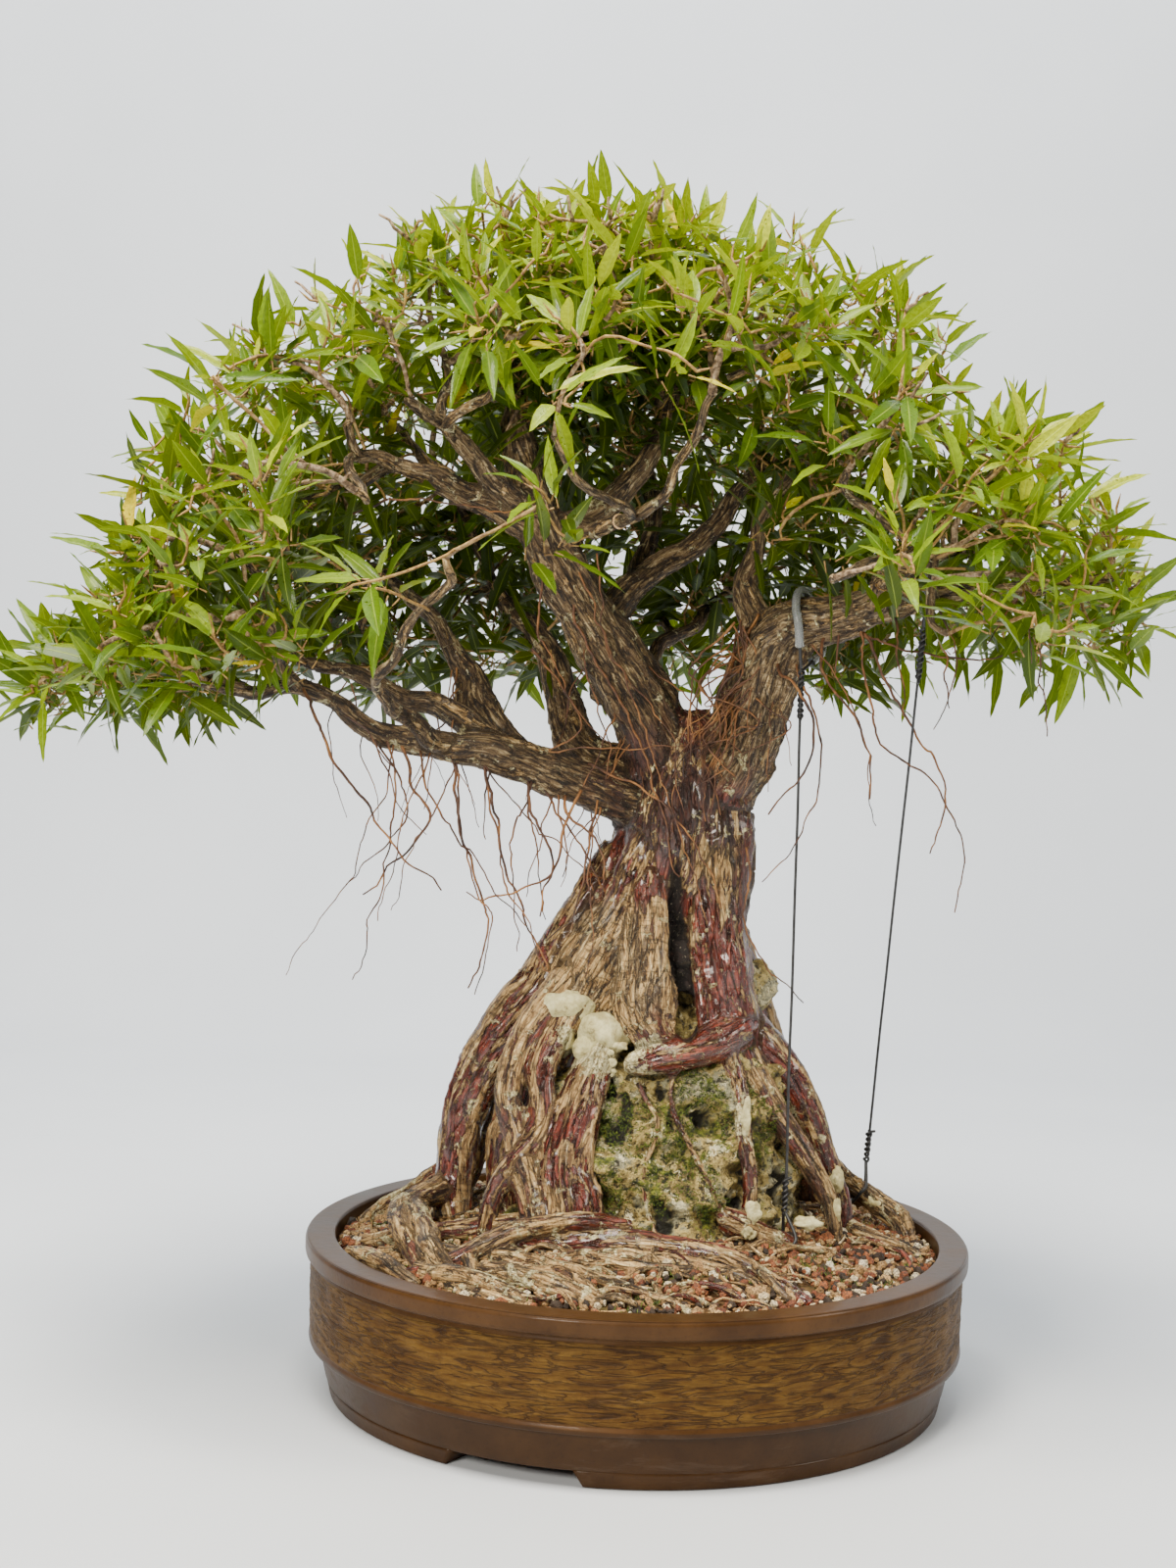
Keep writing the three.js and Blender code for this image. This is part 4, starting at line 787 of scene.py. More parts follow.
def add_pot_wall(skin):
    profile = pot_profile()
    radius, z, angle = turned(profile, POT_STEPS)
    band = (radius > 190) & (z > 36.6) & (z < 80.2)
    # The lower band: lime bloom, and painted shade that darkens the glaze there.
    lime = (radius > 184) & (z > 8) & (z < 34)
    grain = band_grain(angle, z)
    edge = smoothstep(36.8, 39.0, z) * (1 - smoothstep(78.0, 80.2, z)) * band
    wobble = fractal(from_polar(2.2, 0.02 * z, angle), 2, 31).reshape(radius.shape)
    bulge = edge * (grain - 0.55) * 1.3 + 0.5 * wobble * (radius > 150)
    skin.add(from_polar(radius + bulge, z, angle), [grid_quads(len(profile), POT_STEPS)],
             band=band.ravel(), grain=grain.ravel(), lime=lime.ravel())


def foot_points(section, start, end):
    """Outlines along a foot, whose ends lean in towards the ground."""
    turns = np.linspace(start, end, FOOT_ROWS)[:, None]
    inward = np.where(np.arange(FOOT_ROWS)[:, None] < FOOT_ROWS // 2, 1, -1)
    near_end = np.abs(np.linspace(-1, 1, FOOT_ROWS))[:, None] ** 6
    lean = (FOOT_TOP - section[:, 1]) / FOOT_TOP * 0.03
    turn = turns + inward * lean * near_end
    return from_polar(section[:, 0], section[:, 1] + 0 * turn, turn)


def add_feet(skin):
    section = rounded([(163.5, FOOT_TOP), (163, 0), (184, 0), (186.2, FOOT_TOP)], [0, 1.2, 1.2, 0])
    section = refined(section, 2.5, 2.5)
    wide = len(section)
    for gap in FOOT_GAPS:
        start, end = np.radians([gap + FOOT_HALF_GAP, gap + 120 - FOOT_HALF_GAP])
        points = foot_points(section, start, end)
        middles = [points[:wide].mean(0), points[-wide:].mean(0)]
        fans = [fan[:, [0, 2, 1]] for fan in end_fans(FOOT_ROWS, wide, len(points), len(points) + 1)]
        skin.add(np.vstack([points, middles]), [grid_quads(FOOT_ROWS, wide)[:, [0, 3, 2, 1]]] + fans,
                 band=0.0, grain=0.5, lime=0.7)


def drilled(mesh):
    """The pot with its drain holes cut."""
    drill = Skin()
    for x in (-DRAIN_X, DRAIN_X):
        drill.tube(np.array([[x, 0, 2.0], [x, 0, 14.0], [x, 0, 26.0]]), [DRAIN_RADIUS] * 3, 48)
    cutter = linked("drill", make_mesh("drill", *drill.arrays()[:2]))
    worker = linked("worker", mesh)
    cut = worker.modifiers.new("drains", "BOOLEAN")
    cut.operation = "DIFFERENCE"
    cut.solver = "FAST"
    cut.object = cutter
    graph = bpy.context.evaluated_depsgraph_get()
    graph.update()
    result = bpy.data.meshes.new_from_object(worker.evaluated_get(graph))
    bpy.data.objects.remove(worker)
    bpy.data.objects.remove(cutter)
    return result


def make_pot():
    skin = Skin()
    add_pot_wall(skin)
    add_feet(skin)
    mesh = make_mesh("pot", *skin.arrays())
    weld(mesh)
    mesh = drilled(mesh)
    mesh.name = "pot_body"
    show("pot_body", mesh, pot_material(), "glazed_pot", "pot")


# Soil and rock

SOIL_STEPS = 160
GRAINS = 5600
LITTER = 260

# Rock, (z, half width, half depth) from the soil to the top
ROCK_LEVELS = np.array([
    (74, 88, 76), (100, 94, 80), (130, 91, 77), (160, 85, 72), (190, 75, 62), (220, 58, 48), (250, 38, 34),
    (286, 12, 11)], float)

# Corners and sides of a grain: an icosahedron
PHI = (1 + 5 ** 0.5) / 2
GRAIN_CORNERS = unit(np.array([
    (-1, PHI, 0), (1, PHI, 0), (-1, -PHI, 0), (1, -PHI, 0), (0, -1, PHI), (0, 1, PHI),
    (0, -1, -PHI), (0, 1, -PHI), (PHI, 0, -1), (PHI, 0, 1), (-PHI, 0, -1), (-PHI, 0, 1)]))
GRAIN_SIDES = np.array([
    (0, 11, 5), (0, 5, 1), (0, 1, 7), (0, 7, 10), (0, 10, 11), (1, 5, 9), (5, 11, 4), (11, 10, 2),
    (10, 7, 6), (7, 1, 8), (3, 9, 4), (3, 4, 2), (3, 2, 6), (3, 6, 8), (3, 8, 9), (4, 9, 5),
    (2, 4, 11), (6, 2, 10), (8, 6, 7), (9, 8, 1)])
# Sorts of grain: least and greatest kind, and the share of each sort
GRAIN_SORTS = np.array([(0.0, 0.2, 0.20), (0.22, 0.46, 0.32), (0.50, 0.72, 0.33), (0.76, 1.0, 0.15)])


def rock_level(z):
    """Centre and half widths of the rock at a height."""
    lean = 0.07 * (z - 74)
    width = np.interp(z, ROCK_LEVELS[:, 0], ROCK_LEVELS[:, 1])
    depth = np.interp(z, ROCK_LEVELS[:, 0], ROCK_LEVELS[:, 2])
    return 5 + lean, 12 + 0.5 * lean, width, depth


def on_rock(side, rows):
    """A route down the rock's front (side -1) or back (side 1) from rows of (x, z, radius)."""
    route = []
    for x, z, radius in rows:
        cx, cy, width, depth = rock_level(z)
        share = min(abs((x - cx) / width), 0.96)
        route.append((x, cy + side * (depth * math.sqrt(1 - share * share) + 0.3 * radius), z, radius))
    return route


def rock_share(x, y, half_width, half_depth):
    """Under 1 within an oval round the foot of the rock."""
    return ((x - 7) / half_width) ** 2 + ((y - 13) / half_depth) ** 2


def soil_height(radius):
    return 102 - 16 * np.clip((radius - 95) / (182 - 95), 0, 1)


def disc_place(radius):
    """A random place within a radius of the pot's axis."""
    reach, turn = radius * math.sqrt(rng.random()), rng.random() * FULL_TURN
    return reach * math.cos(turn), reach * math.sin(turn)


def make_soil_bed():
    rings = np.concatenate([np.linspace(181.2, 8, 52), [0.0]])
    under = [(0, 18.4), (165.5, 18.4), (178.0, 30.4), (181.2, 80)]
    profile = under + [(r, 0) for r in rings]
    radius, z, angle = turned(profile, SOIL_STEPS)
    flat = from_polar(radius, 0 * radius, angle)
    bumps = (1.6 * fractal(flat * 0.045, 3, 3) + 1.0 * fractal(flat * 0.3, 3, 8)).reshape(radius.shape)
    z[len(under):] = (soil_height(radius) - 1.2 + bumps)[len(under):]
    skin = Skin()
    skin.add(from_polar(radius, z, angle), [grid_quads(len(profile), SOIL_STEPS)])
    show_skin("soil_bed", skin, soil_material(), "soil", "soil", poles=True)


def add_grain(grains, x, y, reach):
    size = rng.uniform(1.1, 3.0) * (1.45 if rng.random() < 0.16 else 1.0)
    shape = GRAIN_CORNERS * (1 + rng.uniform(-0.22, 0.22, (12, 1))) * size * rng.uniform(0.72, 1.2, 3)
    spin = rng.uniform(0, FULL_TURN)
    c, s = math.cos(spin), math.sin(spin)
    shape = shape @ np.array([[c, s, 0], [-s, c, 0], [0, 0, 1]])
    pull = min(1, (180.6 - size) / max(reach, 1))
    z = soil_height(reach) + rng.uniform(-0.6, 1.9)
    low, high, _ = GRAIN_SORTS[rng.choice(4, p=GRAIN_SORTS[:, 2])]
    grains.add(shape + [x * pull, y * pull, z], [GRAIN_SIDES], kind=rng.uniform(low, high))


def make_grains():
    radius = 180.0 * np.sqrt(rng.random(GRAINS * 2))
    turn = rng.random(GRAINS * 2) * FULL_TURN
    x, y = radius * np.cos(turn), radius * np.sin(turn)
    chosen = np.where(rock_share(x, y, 90, 76) > 1)[0][:GRAINS]
    grains = Skin()
    for k in chosen:
        add_grain(grains, x[k], y[k], radius[k])
    show_skin("soil_grains", grains, GRIT, "soil", smooth=False)


def add_litter(litter):
    """A thin bent stalk that lies on the grit, unless its place is on the rock."""
    px, py = disc_place(172)
    if rock_share(px, py, 92, 78) < 1:
        return
    length, heading = rng.uniform(7, 26), rng.random() * FULL_TURN
    t = np.linspace(-0.5, 0.5, 6)[:, None]
    bend = rng.uniform(-0.3, 0.3)
    along = np.array([math.cos(heading), math.sin(heading)])
    aside = np.array([-along[1], along[0]])
    flat = np.array([px, py]) + length * (t * along + bend * t ** 2 * aside)
    reach = np.hypot(flat[:, 0], flat[:, 1])
    flat *= np.minimum(1, 178 / np.maximum(reach, 1))[:, None]
    z = soil_height(np.hypot(flat[:, 0], flat[:, 1])) + rng.uniform(1.0, 3.0)
    thick = rng.uniform(0.35, 0.9)
    litter.tube(np.column_stack([flat, z]), np.full(6, thick), 5, kind=rng.uniform(0.5, 0.85))


def make_soil():
    make_soil_bed()
    make_grains()
    litter = Skin()
    for _ in range(LITTER):
        add_litter(litter)
    show_skin("soil_litter", litter, GRIT, "soil")


def rock_surface(turn, z):
    cx, cy, width, depth = rock_level(z)
    waves = np.sin(3 * turn + z * 0.05) + np.sin(7 * turn - z * 0.11) + np.sin(5 * turn + z * 0.21)
    swell = 1 + 0.028 * waves
    return np.stack([cx + width * swell * np.cos(turn), cy + depth * swell * np.sin(turn), z], -1)


def add_rock_sides(skin):
    steps, levels = ((264, 140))
    z, turn = np.meshgrid(np.linspace(76, 285, levels), np.arange(steps) / steps * FULL_TURN, indexing="ij")
    points = rock_surface(turn, z).reshape(-1, 3)
    normal = unit(from_polar(1.0, 0.25 + 0 * z, turn))
    lumps = fractal(points * 0.035, 4, 21)
    shelf = ridged(points * [0.045, 0.045, 0.085], 5, 27)
    pits = np.clip(fractal(points * 0.075, 5, 33) - 0.05, 0, 1)
    points = points + normal * (7.5 * lumps + 6.5 * shelf - 17.0 * pits - 2.8)[:, None]
    x, y, z = points.T
    points[:, 1] += 16 * smoothstep(190, 208, z) * smoothstep(50, 38, x) * (y < 10)
    moss = smoothstep(-0.35, 0.20, fractal(points * 0.035, 4, 44))
    moss *= smoothstep(-0.2, 0.25, 0.2 - normal[:, 1])
    # Where the rock's material paints shade: in the pits and away from the shelves.
    hollow = np.clip(pits * 2.6 - 0.45 * shelf + 0.1, 0, 1)
    top, underside = (19.8, 19.4, 288), (5.1, 12.1, 76)
    count = len(points)
    skin.add(np.vstack([points, top, underside]),
             [grid_quads(levels, steps)] + end_fans(levels, steps, count + 1, count),
             hollow=np.append(hollow, [0, 0]), moss=np.append(moss, [0.3, 0.3]))


def add_rock_shoulder(skin):
    """The tan knob at the right rear."""
    steps = 48
    ball = ball_grid(steps)
    swell = 16 + 3.2 * fractal(ball * 2.1 + 5, 4, 51) + 1.6 * ridged(ball * 4 + 5, 3, 57)
    skin.add(ball * swell[:, None] + [68, 32, 241], [ball_quads(steps)], hollow=0.1, moss=0.15)


def make_rock():
    skin = Skin()
    add_rock_sides(skin)
    add_rock_shoulder(skin)
    show_skin("rock_body", skin, rock_material(), "rock", "rock", poles=True)


# Wires: the loop round a limb, the loop round a root, and the two ends of the straight run

WIRES = {
    "left": dict(limb=(94, -14.7, 464.5), limb_axis=(22, -10, 6), limb_radius=20.8, top=(89, -27, 437),
                 root=(86, -56, 101), root_axis=(16, 4, -8), root_radius=10.3, bottom=(85, -52, 119)),
    "right": dict(limb=(160, -41, 483), limb_axis=(60, -18, 9), limb_radius=12.8, top=(158, -43, 463),
                  root=(141, 37, 114), root_axis=(20, -3, -14), root_radius=10.4, bottom=(144, 38, 132)),
}
WIRE_LIMBS = np.array([wire["limb"] for wire in WIRES.values()], float)


# Wood

# Kinds of wood
TRUNK_WOOD, ROCK_ROOT, SOIL_ROOT, LEFT_LIMB, RIGHT_LIMB, OTHER_LIMB = range(6)

# Routes of (x, y, z, radius) from the thick end to the thin end
TRUNK = [
    [(31, 19, 408, 20), (28, 22, 380, 33), (26, 23, 352, 39), (25, 24, 322, 42), (20, 26, 285, 40)],
    [(19, 18, 352, 22), (10, 15, 325, 28), (-1, 12, 288, 30), (-18, 10, 254, 33), (-36, 8, 216, 29),
     (-62, 6, 160, 25), (-72, 4, 84, 20)],
    [(37, 14, 368, 16), (41, 8, 340, 22), (42, 0, 290, 20), (46, -6, 255, 20), (55, -9, 218, 18)],
    [(34, 4, 300, 10), (33, -6, 268, 10), (35, -16, 240, 11), (38, -24, 216, 10)],
    [(4, 2, 318, 14), (4, -10, 284, 17), (3, -20, 254, 19), (2, -27, 234, 18), (8, -33, 218, 12),
     (19, -36, 209, 7)],
]
ROOTS_OVER_ROCK = [
    [(-10, 28, 320, 18), (-34, 26, 279, 19), (-57, 22, 243, 18), (-84, 18, 209, 17), (-103, 16, 175, 14.5),
     (-110, 12, 146, 12), (-113, 3, 108, 11.5), (-110, -4, 84, 8)],
    [(-44, -6, 248, 12), (-71, -22, 211, 10), (-79, -34, 182, 9), (-72, -46, 154, 8), (-60, -62, 119, 9),
     (-54, -72, 84, 7)],
    [(-40, -14, 232, 10), (-58, -34, 198, 8), (-60, -48, 166, 7), (-84, -52, 128, 6), (-94, -60, 84, 5)],
    [(-22, -24, 215, 12), (-36, -44, 176, 13.5), (-43, -56, 145, 14.5), (-38, -62, 113, 16),
     (-42, -70, 84, 11)],
    [(50, -4, 228, 15), (82, 3, 200, 12.5), (101, 6, 170, 11.5), (113, 5, 138, 9.5), (123, 0, 112, 7.5),
     (127, -5, 84, 5)],
    [(56, -14, 214, 10), (77, -20, 178, 9), (96, -22, 151, 7.5), (114, -26, 120, 6), (121, -30, 84, 4.5)],
    [(58, -16, 220, 13), (36, -32, 211, 12.5), (12, -40, 206, 11), (-8, -40, 201, 7)],
    on_rock(-1, [(50, 210, 6.5), (59, 185, 5.2), (61, 160, 5.2), (65, 133, 5.2), (63, 84, 3.5)]),
    on_rock(-1, [(21, 208, 2.6), (17, 182, 2.3), (27, 160, 2.3), (38, 140, 2.3), (48, 115, 2.2),
                 (56, 88, 2)]),
    on_rock(1, [(22, 275, 18), (26, 235, 14), (30, 190, 12), (42, 140, 10), (56, 84, 8)]),
    on_rock(1, [(-5, 265, 18), (-26, 225, 14), (-42, 180, 12), (-46, 130, 10), (-66, 84, 7)]),
    [(45, 34, 290, 16), (76, 50, 222, 11), (92, 62, 175, 10), (104, 72, 130, 9), (118, 86, 84, 6)],
    [(-48, 26, 244, 15), (-80, 48, 195, 12), (-98, 64, 150, 10.5), (-106, 76, 112, 9), (-120, 92, 84, 6)],
]
SURFACE_ROOTS = [
    [(-116, 4, 118, 8.5), (-138, -25, 112, 8.5), (-136, -56, 105, 9), (-120, -94, 88, 7.5)],
    [(-124, -92, 86, 5), (-100, -92, 99, 6), (-78, -86, 110, 6), (-58, -84, 116, 5.5), (-30, -86, 120, 4.5),
     (-4, -84, 117, 3)],
    [(-104, -72, 92, 5), (-75, -76, 101, 7), (-41, -82, 105, 8), (-6, -87, 106, 7.5), (27, -94, 105, 7.5),
     (58, -108, 101, 6.5), (92, -140, 88, 4.5)],
    [(-78, -84, 98, 6), (-51, -106, 97, 5), (-24, -125, 95, 4.5), (3, -141, 92, 3.5), (27, -158, 86, 2.5)],
    [(-84, -86, 95, 6), (-62, -115, 95, 6.5), (-40, -127, 96, 7), (-16, -155, 86, 4)],
    [(-122, -92, 90, 6), (-90, -136, 90, 6), (-60, -156, 85, 4)],
    [(48, -56, 116, 7), (72, -60, 107, 7), (88, -55, 100, 7.5), (106, -60, 86, 5)],
    [(108, 8, 148, 8), (128, 38, 123, 6.5), (148, 35, 109, 8), (164, 26, 98, 7.5), (170, 14, 85, 4.5)],
    [(-50, 76, 110, 9), (-14, 112, 102, 8.5), (34, 122, 99, 7.5), (80, 120, 86, 4)],
]
LIMBS = [
    [(8, 20, 346, 17), (-36, 2, 364, 14), (-69, -10, 376, 12.5), (-98, -20, 385, 10.5),
     (-126, -25, 390, 8.7), (-154, -30, 395, 7), (-182, -40, 408, 6), (-206, -50, 419, 5.2),
     (-236, -60, 418, 4), (-264, -70, 422, 3)],
    [(-90, -16, 384, 9), (-118, -5, 408, 7), (-144, 0, 413, 6), (-172, -12, 423, 5.5), (-206, -30, 434, 4)],
    [(-80, -8, 380, 12), (-104, 8, 408, 12.5), (-109, 12, 430, 9.5), (-124, 15, 448, 6), (-142, 24, 472, 5),
     (-166, 40, 492, 4)],
    [(18, 22, 362, 28), (2, 15, 402, 23), (-19, 10, 437, 20), (-38, 5, 466, 18), (-56, 0, 495, 17),
     (-68, 0, 519, 15), (-76, 5, 543, 12), (-83, 10, 573, 9.5), (-86, 16, 608, 7), (-88, 22, 636, 5)],
    [(-66, 0, 514, 10), (-99, -12, 532, 8), (-122, -24, 542, 7), (-146, -38, 550, 5.5), (-174, -62, 552, 4)],
    [(-72, -2, 526, 8), (-98, -28, 550, 6.5), (-121, -52, 570, 5), (-144, -86, 582, 3.5)],
    [(-62, 0, 512, 10.5), (-40, 0, 528, 9), (-20, 4, 545, 7.5), (-8, 5, 570, 6), (2, 5, 596, 5),
     (16, 6, 624, 4)],
    [(-48, 0, 519, 7), (-22, -36, 521, 4.5)],
    [(-34, 12, 458, 11), (-14, 38, 484, 8), (16, 46, 507, 7.5), (40, 52, 530, 7), (56, 62, 554, 5.5),
     (82, 72, 584, 4)],
    [(-26, 24, 462, 9), (-2, 76, 509, 7), (2, 94, 546, 6.2), (-10, 104, 582, 5), (-22, 114, 614, 4)],
    [(38, 16, 362, 27), (56, 6, 394, 23), (65, 0, 421, 20), (73, -5, 448, 19), (88, -12, 463, 16),
     (110, -22, 468, 13.5), (132, -32, 477, 11), (160, -41, 483, 8.6), (192, -50, 486, 6),
     (226, -60, 488, 4.8), (262, -70, 493, 3.4)],
    [(106, -21, 469, 8), (133, -14, 487, 6), (161, -6, 500, 5), (194, 8, 512, 3.5)],
    [(72, -2, 450, 12), (59, 14, 484, 8), (66, 22, 514, 5.5), (79, 26, 547, 4.5), (95, 26, 582, 3.5)],
    [(-6, 24, 366, 18), (-38, 44, 382, 15), (-52, 66, 412, 12), (-66, 88, 452, 8.5), (-94, 118, 482, 5)],
    [(-30, 20, 420, 8), (-6, 64, 432, 6.5), (16, 96, 458, 5), (46, 130, 486, 3.8)],
    [(118, -26, 472, 8), (136, -66, 486, 6), (150, -110, 500, 4.2)],
    [(-118, -22, 388, 7), (-140, -62, 402, 5.5), (-154, -108, 418, 4)],
]
LEFT_LIMB_ROUTES = (0, 1, 2, 16)
RIGHT_LIMB_ROUTES = (10, 11, 15)

# Crown layout

CROWN_MIDDLE = np.array([-38.0, -12.0])
CROWN_HALF_WIDTH, CROWN_HALF_DEPTH = 350.0, 268.0
CROWN_TOP, CROWN_RIM, CROWN_SLOPE, CROWN_ROUNDNESS = 738.0, 441.0, 21.0, 1.65
CROWN_CORE = np.array([-30.0, -4.0, 430.0])
SPRAY_COUNT = 38
GOLDEN = math.pi * (3 - math.sqrt(5))


def crown_point(turn, tilt):
    """A point of the dome of leaves, which has an oval plan and a sloping rim."""
    spread = np.sin(tilt) ** (2 / CROWN_ROUNDNESS)
    lift = np.cos(tilt) ** (2 / CROWN_ROUNDNESS)
    rim = CROWN_RIM + CROWN_SLOPE * spread * np.cos(turn)
    return np.stack([CROWN_MIDDLE[0] + CROWN_HALF_WIDTH * spread * np.cos(turn),
                     CROWN_MIDDLE[1] + CROWN_HALF_DEPTH * spread * np.sin(turn),
                     rim + (CROWN_TOP - rim) * lift], -1)


def spray_places():
    """Start and tip of each spray, spread by the golden angle; the trunk's window stays open."""
    starts, tips = [], []
    i = 0
    while len(tips) < SPRAY_COUNT:
        share = (i + 0.5) / (SPRAY_COUNT + 4)
        tip = crown_point(np.array(i * GOLDEN), np.array(math.acos(max(1 - share, 0.02))))
        i += 1
        if tip[1] < -110 and abs(tip[0] + 20) < 120 and tip[2] < 610:
            continue
        starts.append(CROWN_CORE + (tip - CROWN_CORE) * 0.7)
        tips.append(tip)
    return np.array(starts), np.array(tips)


SPRAY_STARTS, SPRAY_TIPS = spray_places()


def limb_joints():
    """Places on the limbs from which branches may start, clear of the wires."""
    joints, headings, radii = [], [], []
    for route in LIMBS:
        rows = np.array(route, float)
        for before, after in zip(rows[:-1], rows[1:]):
            if np.linalg.norm(WIRE_LIMBS - after[:3], axis=1).min() <= 18:
                continue
            joints.append(after[:3])
            headings.append(unit(after[:3] - before[:3]))
            radii.append(after[3])
    return np.array(joints), np.array(headings), np.array(radii)


def branch_routes():
    """From the limb that suits it best, a branch to each spray."""
    joints, headings, radii = limb_joints()
    routes = []
    for start, tip in zip(SPRAY_STARTS, SPRAY_TIPS):
        outward = unit(tip - start)
        way = start - joints
        distance = np.linalg.norm(way, axis=1)
        turn_back = 1 - (unit(way) * headings).sum(1)
        best = int(np.argmin(distance * (1 + 0.5 * turn_back)))
        a, d, far = joints[best], start, distance[best]
        b = a + headings[best] * 0.3 * far
        c = d - outward * 0.35 * far
        t = np.linspace(0, 1, 6)[:, None]
        path = (1 - t) ** 3 * a + 3 * t * (1 - t) ** 2 * b + 3 * t * t * (1 - t) * c + t ** 3 * d
        thick = min(0.75 * radii[best], 4.5)
        routes.append(np.column_stack([path, thick + (2.0 - thick) * t[:, 0]]))
    return routes


BRANCHES = branch_routes()


# Wood surface

# How red each root over the rock and each surface root is, and how pale each root over the rock is
ROOT_RED = np.array([0.56, 0.30, 0.56, 0.86, 0.72, 0.40, 0.98, 0.66, 0.55, 0.5, 0.5, 0.5, 0.5])
SURFACE_RED = np.array([0.34, 0.42, 0.66, 0.22, 0.30, 0.18, 0.62, 0.25, 0.25])
ROOT_PALE = np.array([0.56, 0.64, 0.60, 0.66, 0.45, 0.60, 0.28, 0.55, 0.6, 0.5, 0.5, 0.5, 0.5])
WOOD_VOXEL = 0.00245


def limb_kind(number):
    if number in LEFT_LIMB_ROUTES:
        return LEFT_LIMB
    return RIGHT_LIMB if number in RIGHT_LIMB_ROUTES else OTHER_LIMB


def limb_line(route):
    """The smooth line of a limb, whose thin end wanders a little."""
    line = spline(route, 5.0)
    loose = np.clip(13 - line[:, 3], 0, 7) * 0.75
    from_start = np.arange(len(line))
    loose *= np.minimum(1, np.minimum(from_start, from_start[::-1]) / 5.0)
    line[:, :3] += wander(line[:, :3], 0.03, 2, 200, 7) * loose[:, None] * 1.6
    line[:, 3] *= 1 + 0.16 * fractal(line[:, :3] * 0.07, 2, 3)
    return line


def wood_lines():
    """Kind, number and smooth centreline of all thick wood."""
    lines = []
    for kind, routes in ((TRUNK_WOOD, TRUNK), (ROCK_ROOT, ROOTS_OVER_ROCK), (SOIL_ROOT, SURFACE_ROOTS)):
        for number, route in enumerate(routes):
            lines.append((kind, number, spline(route, 5.0)))
    for number, route in enumerate(LIMBS):
        lines.append((limb_kind(number), number, limb_line(route)))
    return lines


WOOD_LINES = wood_lines()


def wood_samples():
    """Centreline samples, for the way the fibres run."""
    rows = []
    for k, (kind, number, line) in enumerate(WOOD_LINES):
        centres = line[:, :3]
        tangents, across, beside = frames_along(centres)
        rows.append({"centre": centres, "radius": np.maximum(line[:, 3], 1.5), "tangent": tangents,
                     "across": across, "beside": beside, "along": arc_lengths(centres) + 371.0 * k,
                     "kind": np.full(len(line), kind), "number": np.full(len(line), number)})
    return {key: np.concatenate([row[key] for row in rows]) for key in rows[0]}


SAMPLES = wood_samples()


def nearest_wood(points):
    """The sample each point belongs to, by distance over radius."""
    best = np.empty(len(points), int)
    centres, radii = SAMPLES["centre"], SAMPLES["radius"]
    square = (centres ** 2).sum(1)
    batch = 20000
    for first in range(0, len(points), batch):
        part = points[first:first + batch]
        gap = (part ** 2).sum(1)[:, None] + square[None, :] - 2 * part @ centres.T
        best[first:first + batch] = np.argmin(gap / radii[None, :] ** 2, 1)
    return best


def flow_at(points, best):
    """Where points lie across and along their wood, which the fibres follow."""
    away = points - SAMPLES["centre"][best]
    u = (away * SAMPLES["across"][best]).sum(1)
    v = (away * SAMPLES["beside"][best]).sum(1)
    s = SAMPLES["along"][best] + (away * SAMPLES["tangent"][best]).sum(1)
    return np.stack([u, v, s], 1)


def wood_girth(count, depth, twist):
    return lambda angle, share: 1 + depth * np.sin(count * angle + twist * share * FULL_TURN)


def spot(x, z, at, size):
    """Soft oval patch in the front view, 0 to 1."""
    return np.exp(-(((x - at[0]) / size[0]) ** 2 + ((z - at[1]) / size[1]) ** 2))


def rough_wood():
    """All thick wood grown into one smooth surface: points, normals and faces."""
    rough = Skin()
    for kind, _, line in WOOD_LINES:
        centres, radii = line[:, :3], line[:, 3]
        if kind == TRUNK_WOOD:
            rough.tube(centres, radii, 28, girth=wood_girth(5, 0.06, 0.2))
        elif kind in (ROCK_ROOT, SOIL_ROOT):
            rough.tube(centres, np.maximum(radii, 2.4), 16, girth=wood_girth(2, 0.10, 0.5))
        else:
            rough.tube(centres, radii, 18, girth=wood_girth(3, 0.06, 0.7))
    remesh = ("REMESH", {"mode": "VOXEL", "voxel_size": WOOD_VOXEL, "adaptivity": 0.0})
    points, _, groups = evaluated(make_mesh("wood_rough", *rough.arrays()[:2]), remesh)
    points = relax(points, groups, 4, 0.5)
    _, normals, _ = evaluated(make_mesh("wood_normals", points, groups))
    return points, normals, groups


def crevice(x, y, z):
    """The slot between the trunk's two legs, 0 to 1, which is sunk into the wood and darkened with painted
    shade.
    """
    middle = 18 + 0.10 * (307 - z)
    ends = smoothstep(212, 226, z) * (1 - smoothstep(300, 335, z))
    return np.exp(-((x - middle) / 4.6) ** 2) * ends * (y < 8)


def wood_relief(points, flow, radius, kind):
    """How far each point rises, and how deep it lies in a furrow or the slot, for the painted shade that
    darkens the bark there.
    """
    round_flow = np.column_stack([flow[:, :2] / radius[:, None], flow[:, 2]])
    muscles = ridged(round_flow * [1.5, 1.5, 0.007] + 3, 2, 59)
    fibres = ridged(flow * [0.24, 0.24, 0.020], 4, 61)
    knots = fractal(flow * [0.06, 0.06, 0.035], 3, 67)
    flakes = fractal(flow * [0.10, 0.10, 0.035] + 40, 4, 71)
    plates = smoothstep(-0.04, 0.06, flakes)
    rings = value_noise(flow * [0.03, 0.03, 0.42], 73)
    slot = crevice(*points.T)
    depth = np.clip(0.085 * radius, 0.3, 1.7)
    rise = depth * (0.6 * fibres + 0.8 * plates - 0.2) + 0.10 * radius * knots
    rise += np.clip(0.19 * radius, 0, 4.6) * (muscles - 0.35)
    rise += np.where(kind == RIGHT_LIMB, 0.5, 0.15) * rings * np.clip(radius / 12, 0.3, 1)
    rise -= 9.0 * slot
    cavity = np.clip(0.42 - 0.50 * fibres - 0.55 * (muscles - 0.3) - 0.2 * flakes, 0, 1) * 0.78
    return rise, np.clip(cavity + 1.1 * slot, 0, 1)


